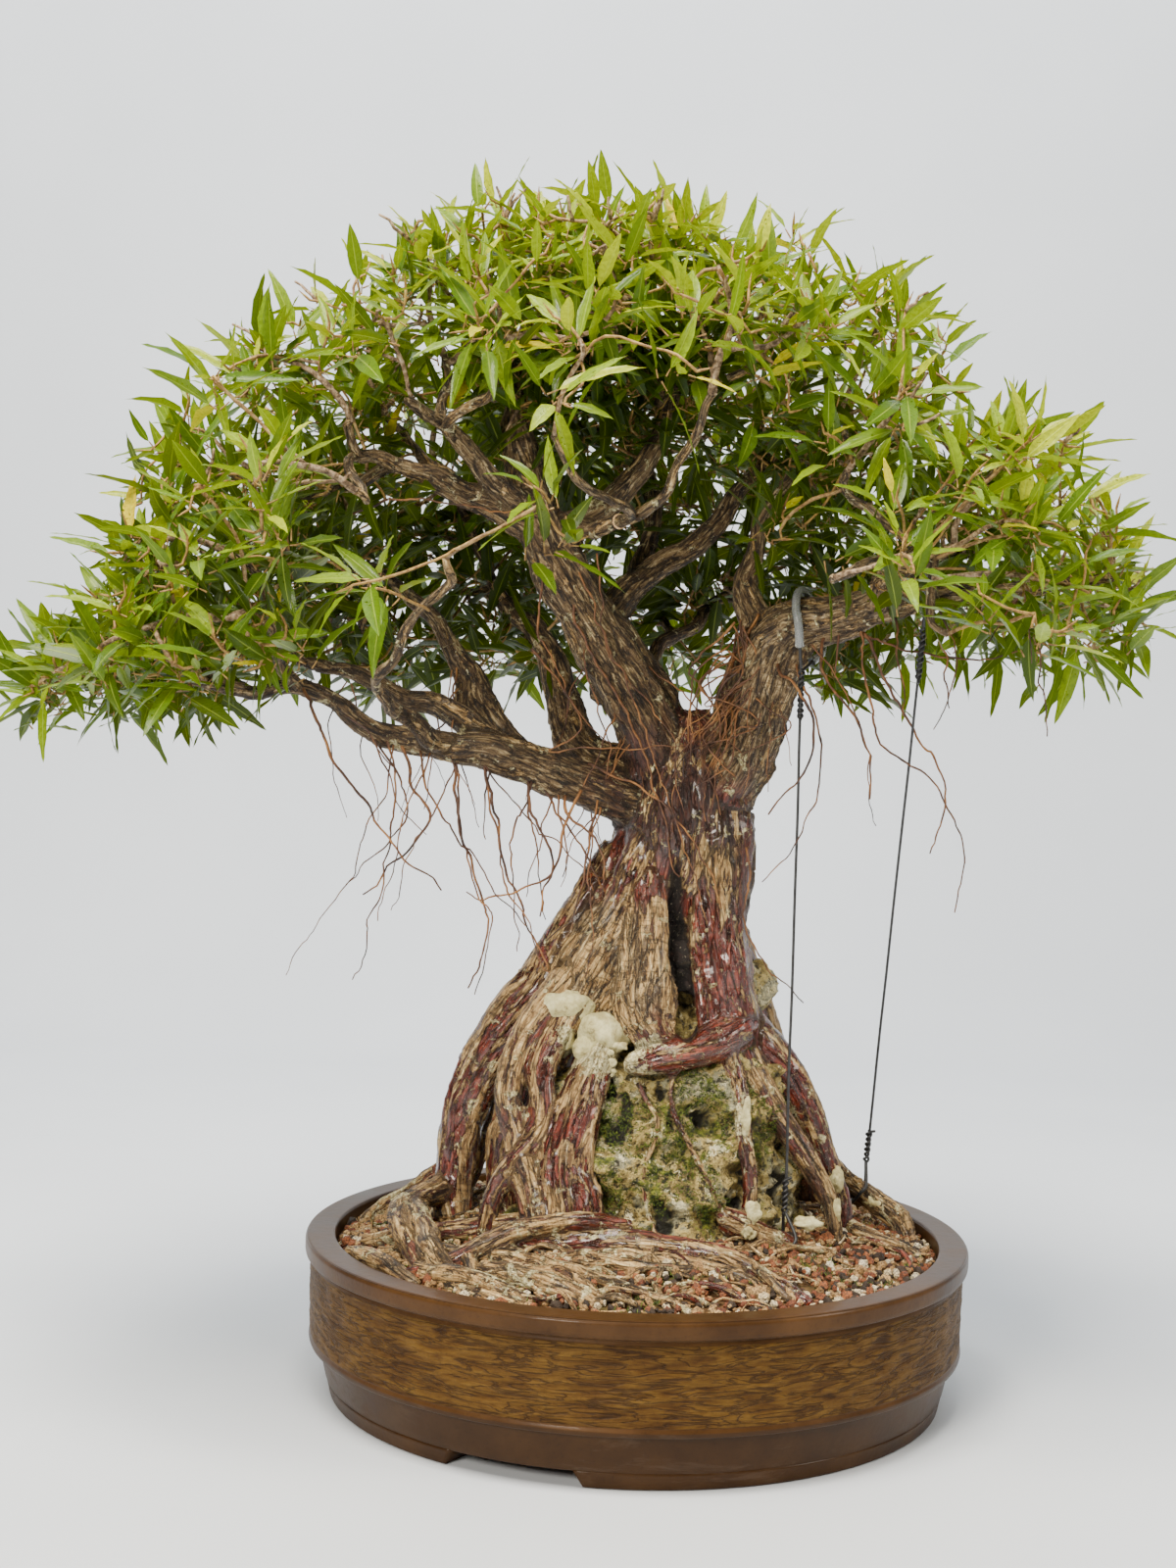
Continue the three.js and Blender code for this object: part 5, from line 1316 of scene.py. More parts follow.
def wood_red(points, kind, number):
    x, _, z = points.T
    red = np.select([kind == ROCK_ROOT, kind == SOIL_ROOT],
                    [ROOT_RED[np.minimum(number, 12)], SURFACE_RED[np.minimum(number, 8)]], 0.45)
    red = np.where(kind <= SOIL_ROOT, red, 0.40 * (1 - smoothstep(372, 440, z)) + 0.05)
    red = np.where((kind == OTHER_LIMB) & (number >= 12), 0.08, red)
    red = np.where(kind == LEFT_LIMB, 0.30 * (1 - smoothstep(-40, -80, x)), red)
    red = np.where(kind == RIGHT_LIMB, 0.26 * (1 - smoothstep(372, 410, z)), red)
    red += 0.55 * spot(x, z, (44, 262), (17, 52)) + 0.26 * spot(x, z, (34, 348), (30, 20))
    red += 0.50 * spot(x, z, (34, 212), (34, 13)) + 0.35 * spot(x, z, (-64, 262), (16, 60))
    red -= 0.60 * spot(x, z, (-22, 256), (32, 34)) + 0.70 * spot(x, z, (44, 322), (14, 14))
    red += 0.16 * spot(x, z, (-12, 312), (20, 20))
    return np.clip(red + 0.42 * fractal(points * [0.035, 0.035, 0.018], 4, 81), 0, 1)


def wood_pale(points, kind, number):
    """How many tan flakes are left."""
    x, _, z = points.T
    pale = np.select([kind == TRUNK_WOOD, kind == ROCK_ROOT, kind == SOIL_ROOT, kind == RIGHT_LIMB],
                     [0.42, ROOT_PALE[np.minimum(number, 12)], 0.64, 0.28], 0.10)
    pale = pale + 0.34 * spot(x, z, (-20, 252), (36, 30)) + 0.35 * spot(x, z, (44, 322), (13, 12))
    pale = pale - 0.22 * spot(x, z, (44, 258), (14, 44)) - 0.20 * spot(x, z, (26, 362), (44, 34))
    return np.clip(pale + 0.28 * fractal(points * [0.06, 0.06, 0.02], 3, 91), 0, 1)


def wood_crust(points, kind):
    """Chalky crust by the putty and on the surface roots."""
    x, y, z = points.T
    crust = 1.15 * spot(x, z, (-20, 209), (25, 12)) + 0.6 * spot(x, z, (58, 176), (8, 22))
    on_roots = 0.25 * (kind == SOIL_ROOT) * smoothstep(0.0, 0.35, fractal(points * 0.05, 2, 95))
    return np.clip(np.where(y < -18, crust, 0) + on_roots, 0, 1.3)


def wood_light(points, kind):
    """How grey the bark is."""
    x, _, z = points.T
    light = np.where(kind == OTHER_LIMB, 0.12 + 0.45 * smoothstep(500, 620, z), 0.10)
    light = np.where(kind == RIGHT_LIMB, 0.50, light)
    light = np.where(kind <= SOIL_ROOT, 0.30 + 0.55 * spot(x, z, (-22, 256), (34, 36)), light)
    dark_neck = 0.34 * spot(x, z, (22, 362), (50, 36))
    return np.clip(light - dark_neck + 0.35 * fractal(points * 0.02, 3, 87), 0, 1)


def wood_wet(z, kind, red):
    wet = np.clip(0.18 + 0.82 * smoothstep(0.25, 0.6, red), 0, 1) * (1 - 0.6 * smoothstep(430, 520, z))
    return np.where(kind == LEFT_LIMB, 0.30, wet) * (1 - 0.6 * smoothstep(325, 375, z))


def show_wood(points, groups, values):
    """Two pieces, parted above the place where the limbs leave the trunk."""
    part_at = 392 + 12 * np.sin(points[:, 0] * 0.05)
    for name, upper in (("wood_roots", False), ("wood_limbs", True)):
        picked = [rows[(points[rows, 2].mean(1) >= part_at[rows].mean(1)) == upper] for rows in groups]
        picked = [rows for rows in picked if len(rows)]
        used = np.unique(np.concatenate([rows.ravel() for rows in picked]))
        renumber = np.zeros(len(points), int)
        renumber[used] = np.arange(len(used))
        mesh = make_mesh(name, points[used], [renumber[rows] for rows in picked],
                         {key: value[used] for key, value in values.items()})
        show(name, mesh, BARK, "bark", "wood")


def make_wood():
    points, normals, groups = rough_wood()
    best = nearest_wood(points)
    flow = flow_at(points, best)
    kind, number = SAMPLES["kind"][best], SAMPLES["number"][best]
    rise, cavity = wood_relief(points, flow, SAMPLES["radius"][best], kind)
    points = points + normals * rise[:, None]
    red = wood_red(points, kind, number)
    zone = np.stack([red, wood_light(points, kind), wood_wet(points[:, 2], kind, red)], 1)
    show_wood(points, groups, {"flow": flow, "zone": zone, "cavity": cavity,
                               "pale": wood_pale(points, kind, number), "crust": wood_crust(points, kind)})


def bark_tube(skin, line, sides, red, light, wet, pale, seed):
    """A thin limb or root with its own bark relief and colouring."""
    centres, radii = line[:, :3], line[:, 3]
    tangents, across, beside = frames_along(centres)
    angle = np.arange(sides) / sides * FULL_TURN
    along = (arc_lengths(centres) + 97.0 * seed)[:, None] + 0 * angle
    flow = from_polar(radii[:, None], along, angle)
    relief = 0.16 * ridged(flow * [0.5, 0.5, 0.06], 3, 63) + 0.20 * fractal(flow * [0.12, 0.12, 0.07], 3, 65)
    size = radii[:, None] * (1 + relief.reshape(len(centres), sides))
    points = rings_round(centres, across, beside, angle, size)
    fans = end_fans(len(centres), sides, len(points), len(points) + 1)
    points = np.vstack([points, centres[0], centres[-1] + tangents[-1] * radii[-1] * 0.6])
    # Painted shade in the low parts of the relief.
    cavity = np.clip(0.45 - 2.6 * relief, 0, 1) * 0.7
    patch = fractal(points * 0.05, 3, 83)
    zone = np.column_stack([np.clip(red + 0.4 * patch, 0, 1), np.clip(light + 0.3 * patch, 0, 1),
                            np.full(len(points), wet)])
    skin.add(points, [grid_quads(len(centres), sides)] + fans, flow=np.vstack([flow, flow[0], flow[-1]]),
             zone=zone, cavity=np.append(cavity, [0.2, 0.2]), pale=np.clip(pale + 0.3 * patch, 0, 1),
             crust=np.clip(0.15 + 0.5 * patch, 0, 1) * (pale > 0.6))


# More roots on the soil: how red each is, and its route of (x, y, z, radius)
MORE_ROOTS = [
    (0.30, [(-128, -20, 110, 7), (-132, -30, 109, 8), (-119, -89, 100, 7.5), (-105, -117, 92, 5)]),
    (0.15, [(-84, -112, 95, 5), (-84, -119, 97, 5.5), (-59, -135, 97, 6), (-35, -148, 93, 5.5),
            (-23, -152, 86, 4)]),
    (0.10, [(-90, -88, 99, 4), (-68, -99, 101, 3.6), (-35, -122, 99, 3.2), (-3, -145, 96, 2.6),
            (26, -161, 89, 2.0)]),
    (0.20, [(-126, -99, 92, 5), (-100, -125, 95, 5.5), (-83, -140, 95, 5), (-58, -151, 88, 4)]),
    (0.62, [(-162, -40, 92, 3.5), (-140, -46, 99, 5), (-122, -49, 101, 5.5), (-90, -52, 106, 6),
            (-62, -60, 112, 5)]),
    (0.35, [(-168, -54, 90, 4), (-155, -78, 94, 5), (-143, -96, 94, 5), (-125, -117, 88, 4)]),
    (0.12, [(48, -82, 104, 2.2), (51, -86, 104, 2.2), (65, -121, 102, 2.1), (80, -141, 91, 1.8)]),
    (0.25, [(30, -108, 99, 3), (20, -114, 99, 3.2), (-8, -115, 101, 3.4), (-30, -103, 103, 3)]),
    (0.20, [(112, 12, 118, 4), (126, 1, 102, 4.5), (146, -25, 97, 4), (168, -24, 88, 3)]),
    (0.70, [(-80, -70, 99, 6), (-50, -78, 104, 7.5), (-16, -84, 107, 8), (20, -92, 105, 7.5),
            (52, -104, 101, 6.5), (84, -132, 88, 4.5)]),
    (0.30, [(-60, -92, 96, 5), (-20, -100, 101, 5.5), (24, -104, 100, 5), (60, -120, 95, 4),
            (74, -140, 86, 3)]),
    (0.15, [(-150, -60, 92, 3.5), (-120, -72, 98, 4.2), (-98, -98, 98, 4), (-92, -130, 90, 3)]),
    (0.45, [(-3, -42, 191, 1.5), (10, -54, 168, 1.5), (2, -60, 145, 1.4), (6, -64, 118, 1.4),
            (14, -78, 98, 1.2)]),
    (0.80, [(78, -52, 104, 4.5), (74, -60, 106, 6.0), (70, -66, 103, 4.0), (68, -70, 92, 2.0)]),
    (0.35, [(100, 20, 140, 5), (120, 46, 116, 5.5), (130, 74, 100, 5), (124, 104, 86, 4)]),
    (0.30, [(-112, 40, 128, 6), (-138, 44, 106, 6), (-160, 36, 94, 5), (-172, 20, 85, 3.5)]),
    (0.25, [(-30, 96, 112, 6), (-60, 124, 100, 5.5), (-74, 146, 86, 4)]),
]
LOOSE_ROOTS = 130
LOOSE_STEP = 9


def loose_root():
    """The route of a root that lies loose on the soil; none if its place is off the soil."""
    if rng.random() < 0.8:
        x, y = rng.uniform(-158, 70), rng.uniform(-158, -62)
    else:
        x, y = disc_place(165)
    rows = []
    if math.hypot(x, y) > 168 or rock_share(x, y, 86, 72) < 1:
        return rows
    heading = rng.normal(-0.25, 0.45) + (math.pi if rng.random() < 0.5 else 0)
    length = rng.uniform(22, 80)
    thick = rng.uniform(0.5, 1.1) if rng.random() < 0.6 else rng.uniform(1.1, 2.6)
    count = max(4, int(length / LOOSE_STEP))
    for share in np.arange(count) / (count - 1):
        arch = 2.6 * math.sin(math.pi * share) * rng.uniform(0.2, 1.0)
        lift = 1.5 + thick * 0.6 + arch - 3.5 * abs(2 * share - 1) ** 4
        rows.append((x, y, soil_height(math.hypot(x, y)) + lift, thick * (1 - 0.45 * share)))
        heading += rng.normal(0, 0.28)
        x += LOOSE_STEP * math.cos(heading)
        y += LOOSE_STEP * math.sin(heading)
        if math.hypot(x, y) > 174:
            break
    return rows


def make_more_roots():
    skin = Skin()
    for number, (red, route) in enumerate(MORE_ROOTS):
        line = spline(route, 2.6)
        line[:, :3] += wander(line[:, :3], 0.06, 2, 230, 5) * [2.2, 2.2, 1.0]
        bark_tube(skin, line, 12, red, 0.45, 0.30, 0.66, 40 + number)
    for number in range(LOOSE_ROOTS):
        rows = loose_root()
        if len(rows) > 3:
            sides = 7 if rows[0][3] < 1.2 else 9
            red = rng.choice([0.1, 0.2, 0.5, 0.75])
            bark_tube(skin, spline(rows, 2.4), sides, red, 0.6, 0.2, 0.7, 70 + number)
    show_skin("surface_roots", skin, BARK, "bark", "wood")


# Crown

SHOOTS = 880
LOW_SHOOTS = 46
INNER_SHOOTS = 80
STUBS = 170
TWIG_STEP, TWIG_REACH, TWIG_SIDES = 8.0, 9.0, 5

# Outer edge of the foliage seen from the front, (x, z) from left to right
OUTLINE = np.array([
    (-388, 422), (-360, 482), (-320, 555), (-285, 609), (-227, 664), (-175, 695), (-128, 723), (-69, 734),
    (-15, 731), (39, 724), (80, 716), (123, 690), (158, 679), (186, 650), (214, 609), (250, 592), (274, 551),
    (299, 516), (312, 463)], float)
OUTLINE_MIDDLE = np.array([CROWN_MIDDLE[0], 436.0])


def reach_at(turn, edge):
    """How far an edge of points (x, z) lies from the middle, in each direction."""
    edge = edge - OUTLINE_MIDDLE
    edge_turn = np.arctan2(edge[:, 1], edge[:, 0])
    order = np.argsort(edge_turn)
    return np.interp(turn, edge_turn[order], np.linalg.norm(edge, axis=1)[order])


def outline_stretch(points):
    """How far the seen edge lies beyond the plain dome in each point's direction."""
    tilt = np.linspace(-math.pi / 2, math.pi / 2, 121)
    dome = crown_point(np.where(tilt < 0, math.pi, 0.0), np.abs(tilt))[:, [0, 2]]
    x, z = (points[:, [0, 2]] - OUTLINE_MIDDLE).T
    turn = np.arctan2(np.maximum(z, 0), x)
    return np.clip(reach_at(turn, OUTLINE) / reach_at(turn, dome), 0.9, 1.12)


def left_open(point):
    """Whether a shoot would close the window on the limbs, or the space under them."""
    x, y, z = point
    if y < -45 and abs(x + 45) < 155 and z < 608 and rng.random() < 0.93:
        return True
    return z < 470 and abs(x - 20) < 160 and y < 60 and rng.random() < 0.9


def shoot_targets():
    """Where the leafy shoots are, most of them just under the dome."""
    rows = []
    k = 0
    while len(rows) < SHOOTS:
        share = ((k + 0.5) / (SHOOTS * 1.12)) % 1.0
        tip = crown_point(np.array(k * GOLDEN), np.array(math.acos(max(1 - share, 0.01))))
        height = (tip[2] - CROWN_RIM) / (CROWN_TOP - CROWN_RIM)
        reach = 0.955 - 0.045 * height - 0.40 * rng.random() ** 1.6
        k += 1
        point = CROWN_CORE + (tip - CROWN_CORE) * reach + rng.normal(0, 7, 3)
        if not left_open(point):
            rows.append(point)
    points = np.array(rows)
    stretch = outline_stretch(points)
    points[:, [0, 2]] += (points[:, [0, 2]] - OUTLINE_MIDDLE) * (stretch - 1)[:, None]
    return np.vstack([points, low_shoots(), inner_shoots()])


def low_shoots():
    """The lowest tier, at the left end, which hangs a little below the rim."""
    turn = np.radians(rng.uniform(150, 216, LOW_SHOOTS))
    reach = 1.0 - 0.30 * rng.random(LOW_SHOOTS) ** 1.5
    x = CROWN_MIDDLE[0] + CROWN_HALF_WIDTH * (reach - 0.06) * np.cos(turn)
    y = CROWN_MIDDLE[1] + CROWN_HALF_DEPTH * reach * np.sin(turn)
    z = rng.uniform(408, 452, LOW_SHOOTS) + 18 * (1 - reach)
    return np.column_stack([x, y, z])


def inner_shoots():
    """Shaded shoots behind the limbs."""
    x = rng.uniform(-230, 190, INNER_SHOOTS)
    y = rng.uniform(70, 190, INNER_SHOOTS)
    arch = 1 - ((x - CROWN_MIDDLE[0]) / 300) ** 2
    z = 436 + (rng.random(INNER_SHOOTS) ** 0.8) * 190 * arch
    return np.column_stack([x, y, z])


def twig_seeds():
    """Places on thin limbs and on branches from which twigs may start."""
    seeds = []
    for route in LIMBS:
        line = spline(route, 9.0)
        keep = (line[:, 3] < 13) & (line[:, 2] > 385)
        seeds.append(line[keep][::2, :3])
    for route in BRANCHES:
        seeds.append(spline(route, 8.0)[2:, :3])
    return np.vstack(seeds)


def nearest_of(targets, places, barred=None):
    """Distance and number of the place nearest to each target."""
    gap = np.linalg.norm(targets[:, None, :] - places[None], axis=2)
    if barred is not None:
        gap[:, barred] = 1e6
    return gap.min(1), gap.argmin(1)


def grow_twigs(targets):
    """Twigs that grow step by step from limbs and branches towards all the shoots."""
    seeds = twig_seeds()
    nodes, parents, headings = list(seeds), [-1] * len(seeds), [np.zeros(3)] * len(seeds)
    by_wire = np.array([np.linalg.norm(WIRE_LIMBS - place, axis=1).min() <= 26 for place in seeds])
    near, near_at = nearest_of(targets, seeds, by_wire)
    for _ in range(60):
        active = near > TWIG_REACH
        if not active.any():
            break
        first = len(nodes)
        for node in np.unique(near_at[active]):
            pull = unit(targets[active & (near_at == node)] - nodes[node]).mean(0)
            heading = unit(unit(pull) + 0.45 * headings[node] + rng.normal(0, 0.16, 3))
            nodes.append(nodes[node] + heading * TWIG_STEP)
            parents.append(node)
            headings.append(heading)
        best, best_at = nearest_of(targets, np.array(nodes[first:]))
        closer = best < near
        near = np.where(closer, best, near)
        near_at = np.where(closer, best_at + first, near_at)
    first = len(nodes)
    for target, node in zip(targets, near_at):
        way = target - nodes[node]
        nodes.append(target)
        parents.append(node)
        headings.append(unit(way) if np.linalg.norm(way) > 0.5 else headings[node])
    return np.array(nodes), np.array(parents), np.array(headings), np.arange(first, len(nodes))


def wire_clear(points, spare):
    """Moves points off the guy wires."""
    for wire in WIRES.values():
        top, low = np.array(wire["top"], float), np.array(wire["bottom"], float)
        along = unit(low - top)
        away = points - top
        depth = np.clip(away @ along, 0, None)[:, None]
        off = away - depth * along
        gap = np.linalg.norm(off, axis=1, keepdims=True)
        points = np.where(gap < spare, points + unit(off) * (spare - gap), points)
    return points


def twig_load(parents, ends):
    """How many shoots each twig joint carries."""
    load = np.zeros(len(parents))
    load[ends] = 1
    for k in range(len(parents) - 1, -1, -1):
        if parents[k] >= 0:
            load[parents[k]] += load[k]
    return load


def twig_chains(parents, load):
    """Runs of joints, each from its fork on along the twig that carries most."""
    children = [[] for _ in parents]
    for k, parent in enumerate(parents):
        if parent >= 0:
            children[parent].append(k)
    starts = [k for k, parent in enumerate(parents) if parent >= 0]
    starts.sort(key=lambda k: -load[k])
    used, chains = set(), []
    for start in starts:
        if start in used:
            continue
        chain, free = [parents[start]], [start]
        while free:
            heaviest = max(free, key=lambda k: load[k])
            used.add(heaviest)
            chain.append(heaviest)
            free = [k for k in children[heaviest] if k not in used]
        chains.append(chain)
    return chains


def add_twig(twigs, line, size):
    size[0] = size[1] * 1.15
    if len(line) > 2:
        inner = (line[:-2] + line[2:]) / 2
        line[1:-1] = 0.6 * line[1:-1] + 0.4 * inner
    young = smoothstep(1.5, 0.85, size)
    ring_young = np.concatenate([np.repeat(young, TWIG_SIDES), [young[0], young[-1]]])
    size = size * (1 + 0.22 * value_noise(line * 0.16, 12))
    twigs.tube(line, size, TWIG_SIDES, young=ring_young)


def make_branches():
    branches = Skin()
    for number, route in enumerate(BRANCHES):
        line = spline(route, 3.2)
        fade = np.minimum(1, np.sin(np.linspace(0, math.pi, len(line)))[:, None] * 2)
        line[:, :3] += 7.0 * wander(line[:, :3], 0.035, 2, 120, 7) * fade
        line[:, 3] *= 1 + 0.16 * value_noise(line[:, :3] * 0.1, 9)
        bark_tube(branches, line, 10, 0.05, 0.40, 0.2, 0.34, 300 + number)
    show_skin("branches", branches, BARK, "bark", "wood")


def make_crown():
    nodes, parents, headings, ends = grow_twigs(shoot_targets())
    load = twig_load(parents, ends)
    radii = 0.80 * np.maximum(load, 1) ** 0.45
    sway = np.stack([value_noise(nodes * 0.045, 90 + k) for k in range(3)], 1)
    nodes = nodes + sway * 4.5 * (parents >= 0)[:, None]
    twigs = Skin()
    for chain in twig_chains(parents, load):
        add_twig(twigs, nodes[chain], radii[chain])
    make_branches()
    make_stubs(twigs, nodes, parents, load)
    make_leaves(nodes[ends], headings[ends], twigs)
    show_skin("twigs", twigs, TWIG, "bark", "wood")


def make_stubs(twigs, nodes, parents, load):
    """Dead bare twig ends."""
    choices = np.where((parents >= 0) & (load < 6) & (nodes[:, 2] > 470))[0]
    for k in rng.choice(choices, STUBS, replace=False):
        outward = unit(nodes[k] - np.array([-30, -4, 470.0]))
        heading = unit(outward + rng.normal(0, 0.5, 3))
        length = rng.uniform(8, 24)
        t = np.linspace(0, 1, 5)[:, None]
        line = nodes[k] + heading * length * t + rng.normal(0, 0.8, (5, 3)) * t
        twigs.tube(line, np.linspace(1.3, 0.75, 5), TWIG_SIDES, young=0.0)


# Leaves: shares of the length at which a leaf has a row of three points; its ends are one point each
STATIONS = np.array([0.0, 0.10, 0.25, 0.42, 0.60, 0.78, 0.91, 1.0])
LEAF_ROWS = len(STATIONS) - 2
LEAF_POINTS = 3 * LEAF_ROWS + 2
LEAF_UV = np.array([(0.5, 0.0)] + [(x, t) for t in STATIONS[1:-1] for x in (0.0, 0.5, 1.0)] + [(0.5, 1.0)])


def leaf_block(base, heading, lift, length, width):
    """Points of many lance-shaped leaves: base point, six rows of three, tip."""
    droop = rng.uniform(0.02, 0.26, len(base))[:, None, None]
    fold = rng.uniform(0.10, 0.55, len(base))[:, None, None]
    curl = rng.normal(0, 0.06, len(base))[:, None, None]
    length, width = length[:, None, None], width[:, None, None]
    beside = unit(np.cross(heading, lift))
    lift = unit(np.cross(beside, heading))[:, None, :]
    beside = beside[:, None, :]
    t = STATIONS[None, :, None]
    along = heading[:, None, :] * (length * (t - 0.10 * droop * t ** 2))
    middle = base[:, None, :] + along - lift * (length * droop) * t ** 2 + beside * (length * curl) * t ** 2
    half = np.sin(math.pi * STATIONS ** 0.80) ** 0.82 * (1 - 0.32 * STATIONS)
    half = half / half.max() * 0.5
    wide = width * half[None, :, None]
    ripple = 0.05 * np.sin(STATIONS * 19.0)[None, :, None] * width
    rise = wide * fold
    left = middle - beside * wide + lift * (rise + ripple)
    right = middle + beside * wide + lift * (rise - ripple)
    rows = np.stack([left, middle, right], 2)[:, 1:-1].reshape(len(base), 3 * LEAF_ROWS, 3)
    return np.concatenate([middle[:, :1], rows, middle[:, -1:]], 1)


def leaf_faces():
    """Triangles at the two ends of a leaf, and the quads between."""
    tip = LEAF_POINTS - 1
    tris = [(0, 1, 2), (0, 2, 3), (tip - 3, tip, tip - 2), (tip - 2, tip, tip - 1)]
    quads = []
    for a in range(1, 3 * LEAF_ROWS - 2, 3):
        quads += [(a, a + 3, a + 4, a + 1), (a + 1, a + 4, a + 5, a + 2)]
    return np.array(tris), np.array(quads)


def leaf_tint_and_light(tip, outside, share):
    """Lighter towards the top and the outside, partly for young growth and partly as painted light; painted
    light on the front and the right, painted shade inside the crown; a few leaves are yellow.
    """
    height = (tip[2] - 430) / 300
    value = 0.15 + 0.40 * height + 0.75 * (outside - 0.74) + 0.20 * share + rng.normal(0, 0.15)
    # Painted light on the front and the right, painted shade on the inner leaves.
    value += 0.12 * smoothstep(60, -200, tip[1]) - 0.10 * smoothstep(0.80, 0.55, outside)
    value += 0.10 * smoothstep(120, 240, tip[0])
    return rng.uniform(0.95, 1.0) if rng.random() < 0.012 else float(np.clip(value, 0.04, 0.92))


def shoot_leaves(tip, heading, twigs):
    """Leaves round one shoot: base, heading, lift, length, width, tint and spray of each."""
    core = np.array([-30.0, -4.0, 440.0])
    outward = unit(tip - core)
    axis = unit(heading * 0.7 + outward * 0.5 + 0.25 * UP)
    side = unit(np.cross(axis, rng.normal(0, 1, 3)))
    other = np.cross(axis, side)
    outside = np.clip(np.linalg.norm((tip - core) / [350, 268, 300]), 0, 1.1)
    spray = int(np.argmin(np.linalg.norm(0.5 * (SPRAY_STARTS + SPRAY_TIPS) - tip, axis=1)))
    count = rng.integers(5, 9)
    first_turn = rng.random() * FULL_TURN
    rows = []
    for k in range(count):
        share = k / count
        place = tip - axis * (26 * (1 - share)) * rng.uniform(0.8, 1.1)
        turn = first_turn + k * 2.4 + rng.normal(0, 0.2)
        opening = math.radians(rng.uniform(52, 78) * (1 - 0.45 * share) + 8)
        radial = side * math.cos(turn) + other * math.sin(turn)
        way = unit(axis * math.cos(opening) + radial * math.sin(opening) + 0.08 * UP)
        size = rng.uniform(30, 47) * (0.62 if k == count - 1 else 1) * (1 - 0.15 * share)
        size *= 1 - 0.16 * smoothstep(600, 720, tip[2])
        foot = place + radial * 1.0
        base = foot + way * rng.uniform(4, 7)
        twigs.tube(np.array([foot, base]), [0.62, 0.42], 3, ends=False, young=0.9)
        lift = unit(axis * 0.55 + 0.75 * UP + outward * 0.3 + rng.normal(0, 0.22, 3))
        width = size * rng.uniform(0.175, 0.225) + 0.8
        rows.append((base, way, lift, size, width, leaf_tint_and_light(tip, outside, share), spray))
    bud = np.array([tip, tip + axis * 4, tip + axis * 9])
    twigs.tube(bud, [0.8, 0.7, 0.15], 4, ends=False, young=1.0)
    return rows


def show_foliage(number, points, width, length, tint, mine):
    """The leaves of one spray as one piece."""
    tris, quads = leaf_faces()
    shift = (np.arange(len(mine)) * LEAF_POINTS)[:, None, None]
    groups = [(tris[None] + shift).reshape(-1, 3), (quads[None] + shift).reshape(-1, 4)]
    uv = np.tile(LEAF_UV, (len(mine), 1))
    wide, long, own = (np.repeat(rows, LEAF_POINTS) for rows in (width[mine], length[mine], mine * 7.7))
    dew = np.column_stack([uv[:, 0] * wide, uv[:, 1] * long, own])
    values = {"tint": np.repeat(tint[mine], LEAF_POINTS), "dew": dew}
    mesh = make_mesh(f"foliage_{number:02d}", points[mine].reshape(-1, 3), groups, values, uv)
    show(f"foliage_{number:02d}", mesh, LEAF, "leaf", f"spray_{number:02d}")


def make_leaves(tips, headings, twigs):
    leaves = []
    for tip, heading in zip(tips, headings):
        leaves += shoot_leaves(tip, heading, twigs)
    base, heading, lift, length, width, tint, home = (np.array(rows) for rows in zip(*leaves))
    points = leaf_block(base, heading, lift, length, width)
    for number in range(SPRAY_COUNT):
        mine = np.where(home == number)[0]
        if len(mine):
            show_foliage(number + 1, points, width, length, tint, mine)


# Hanging roots, (x, y, z) from the top down

AERIAL_ROOTS = [
    [(-204, -50, 420), (-192, -62, 398), (-176, -64, 366), (-146, -62, 330), (-118, -62, 302)],
    [(-150, -30, 394), (-140, -38, 366), (-128, -40, 345), (-150, -42, 318), (-168, -44, 298)],
    [(-118, -22, 388), (-114, -30, 352), (-102, -34, 310), (-94, -36, 276), (-105, -36, 244)],
    [(-98, -20, 384), (-92, -24, 356), (-80, -26, 306), (-58, -28, 258)],
    [(-72, -10, 374), (-68, -24, 352), (-58, -30, 320), (-62, -30, 286)],
    [(-52, -4, 368), (-44, -22, 346), (-30, -34, 330), (-26, -36, 300)],
    [(118, -24, 470), (136, -36, 440), (158, -22, 400), (178, -20, 368), (172, -20, 330)],
    [(104, -20, 466), (98, -34, 436), (124, -38, 400), (132, -38, 362)],
    [(72, -14, 446), (84, -42, 428), (95, -46, 400), (88, -46, 372), (72, -44, 350)],
    [(-60, -14, 500), (-40, -14, 455), (-14, -14, 410), (4, -18, 366), (20, -22, 310)],
    [(60, -12, 430), (44, -24, 412), (34, -26, 396), (52, -30, 374)],
]
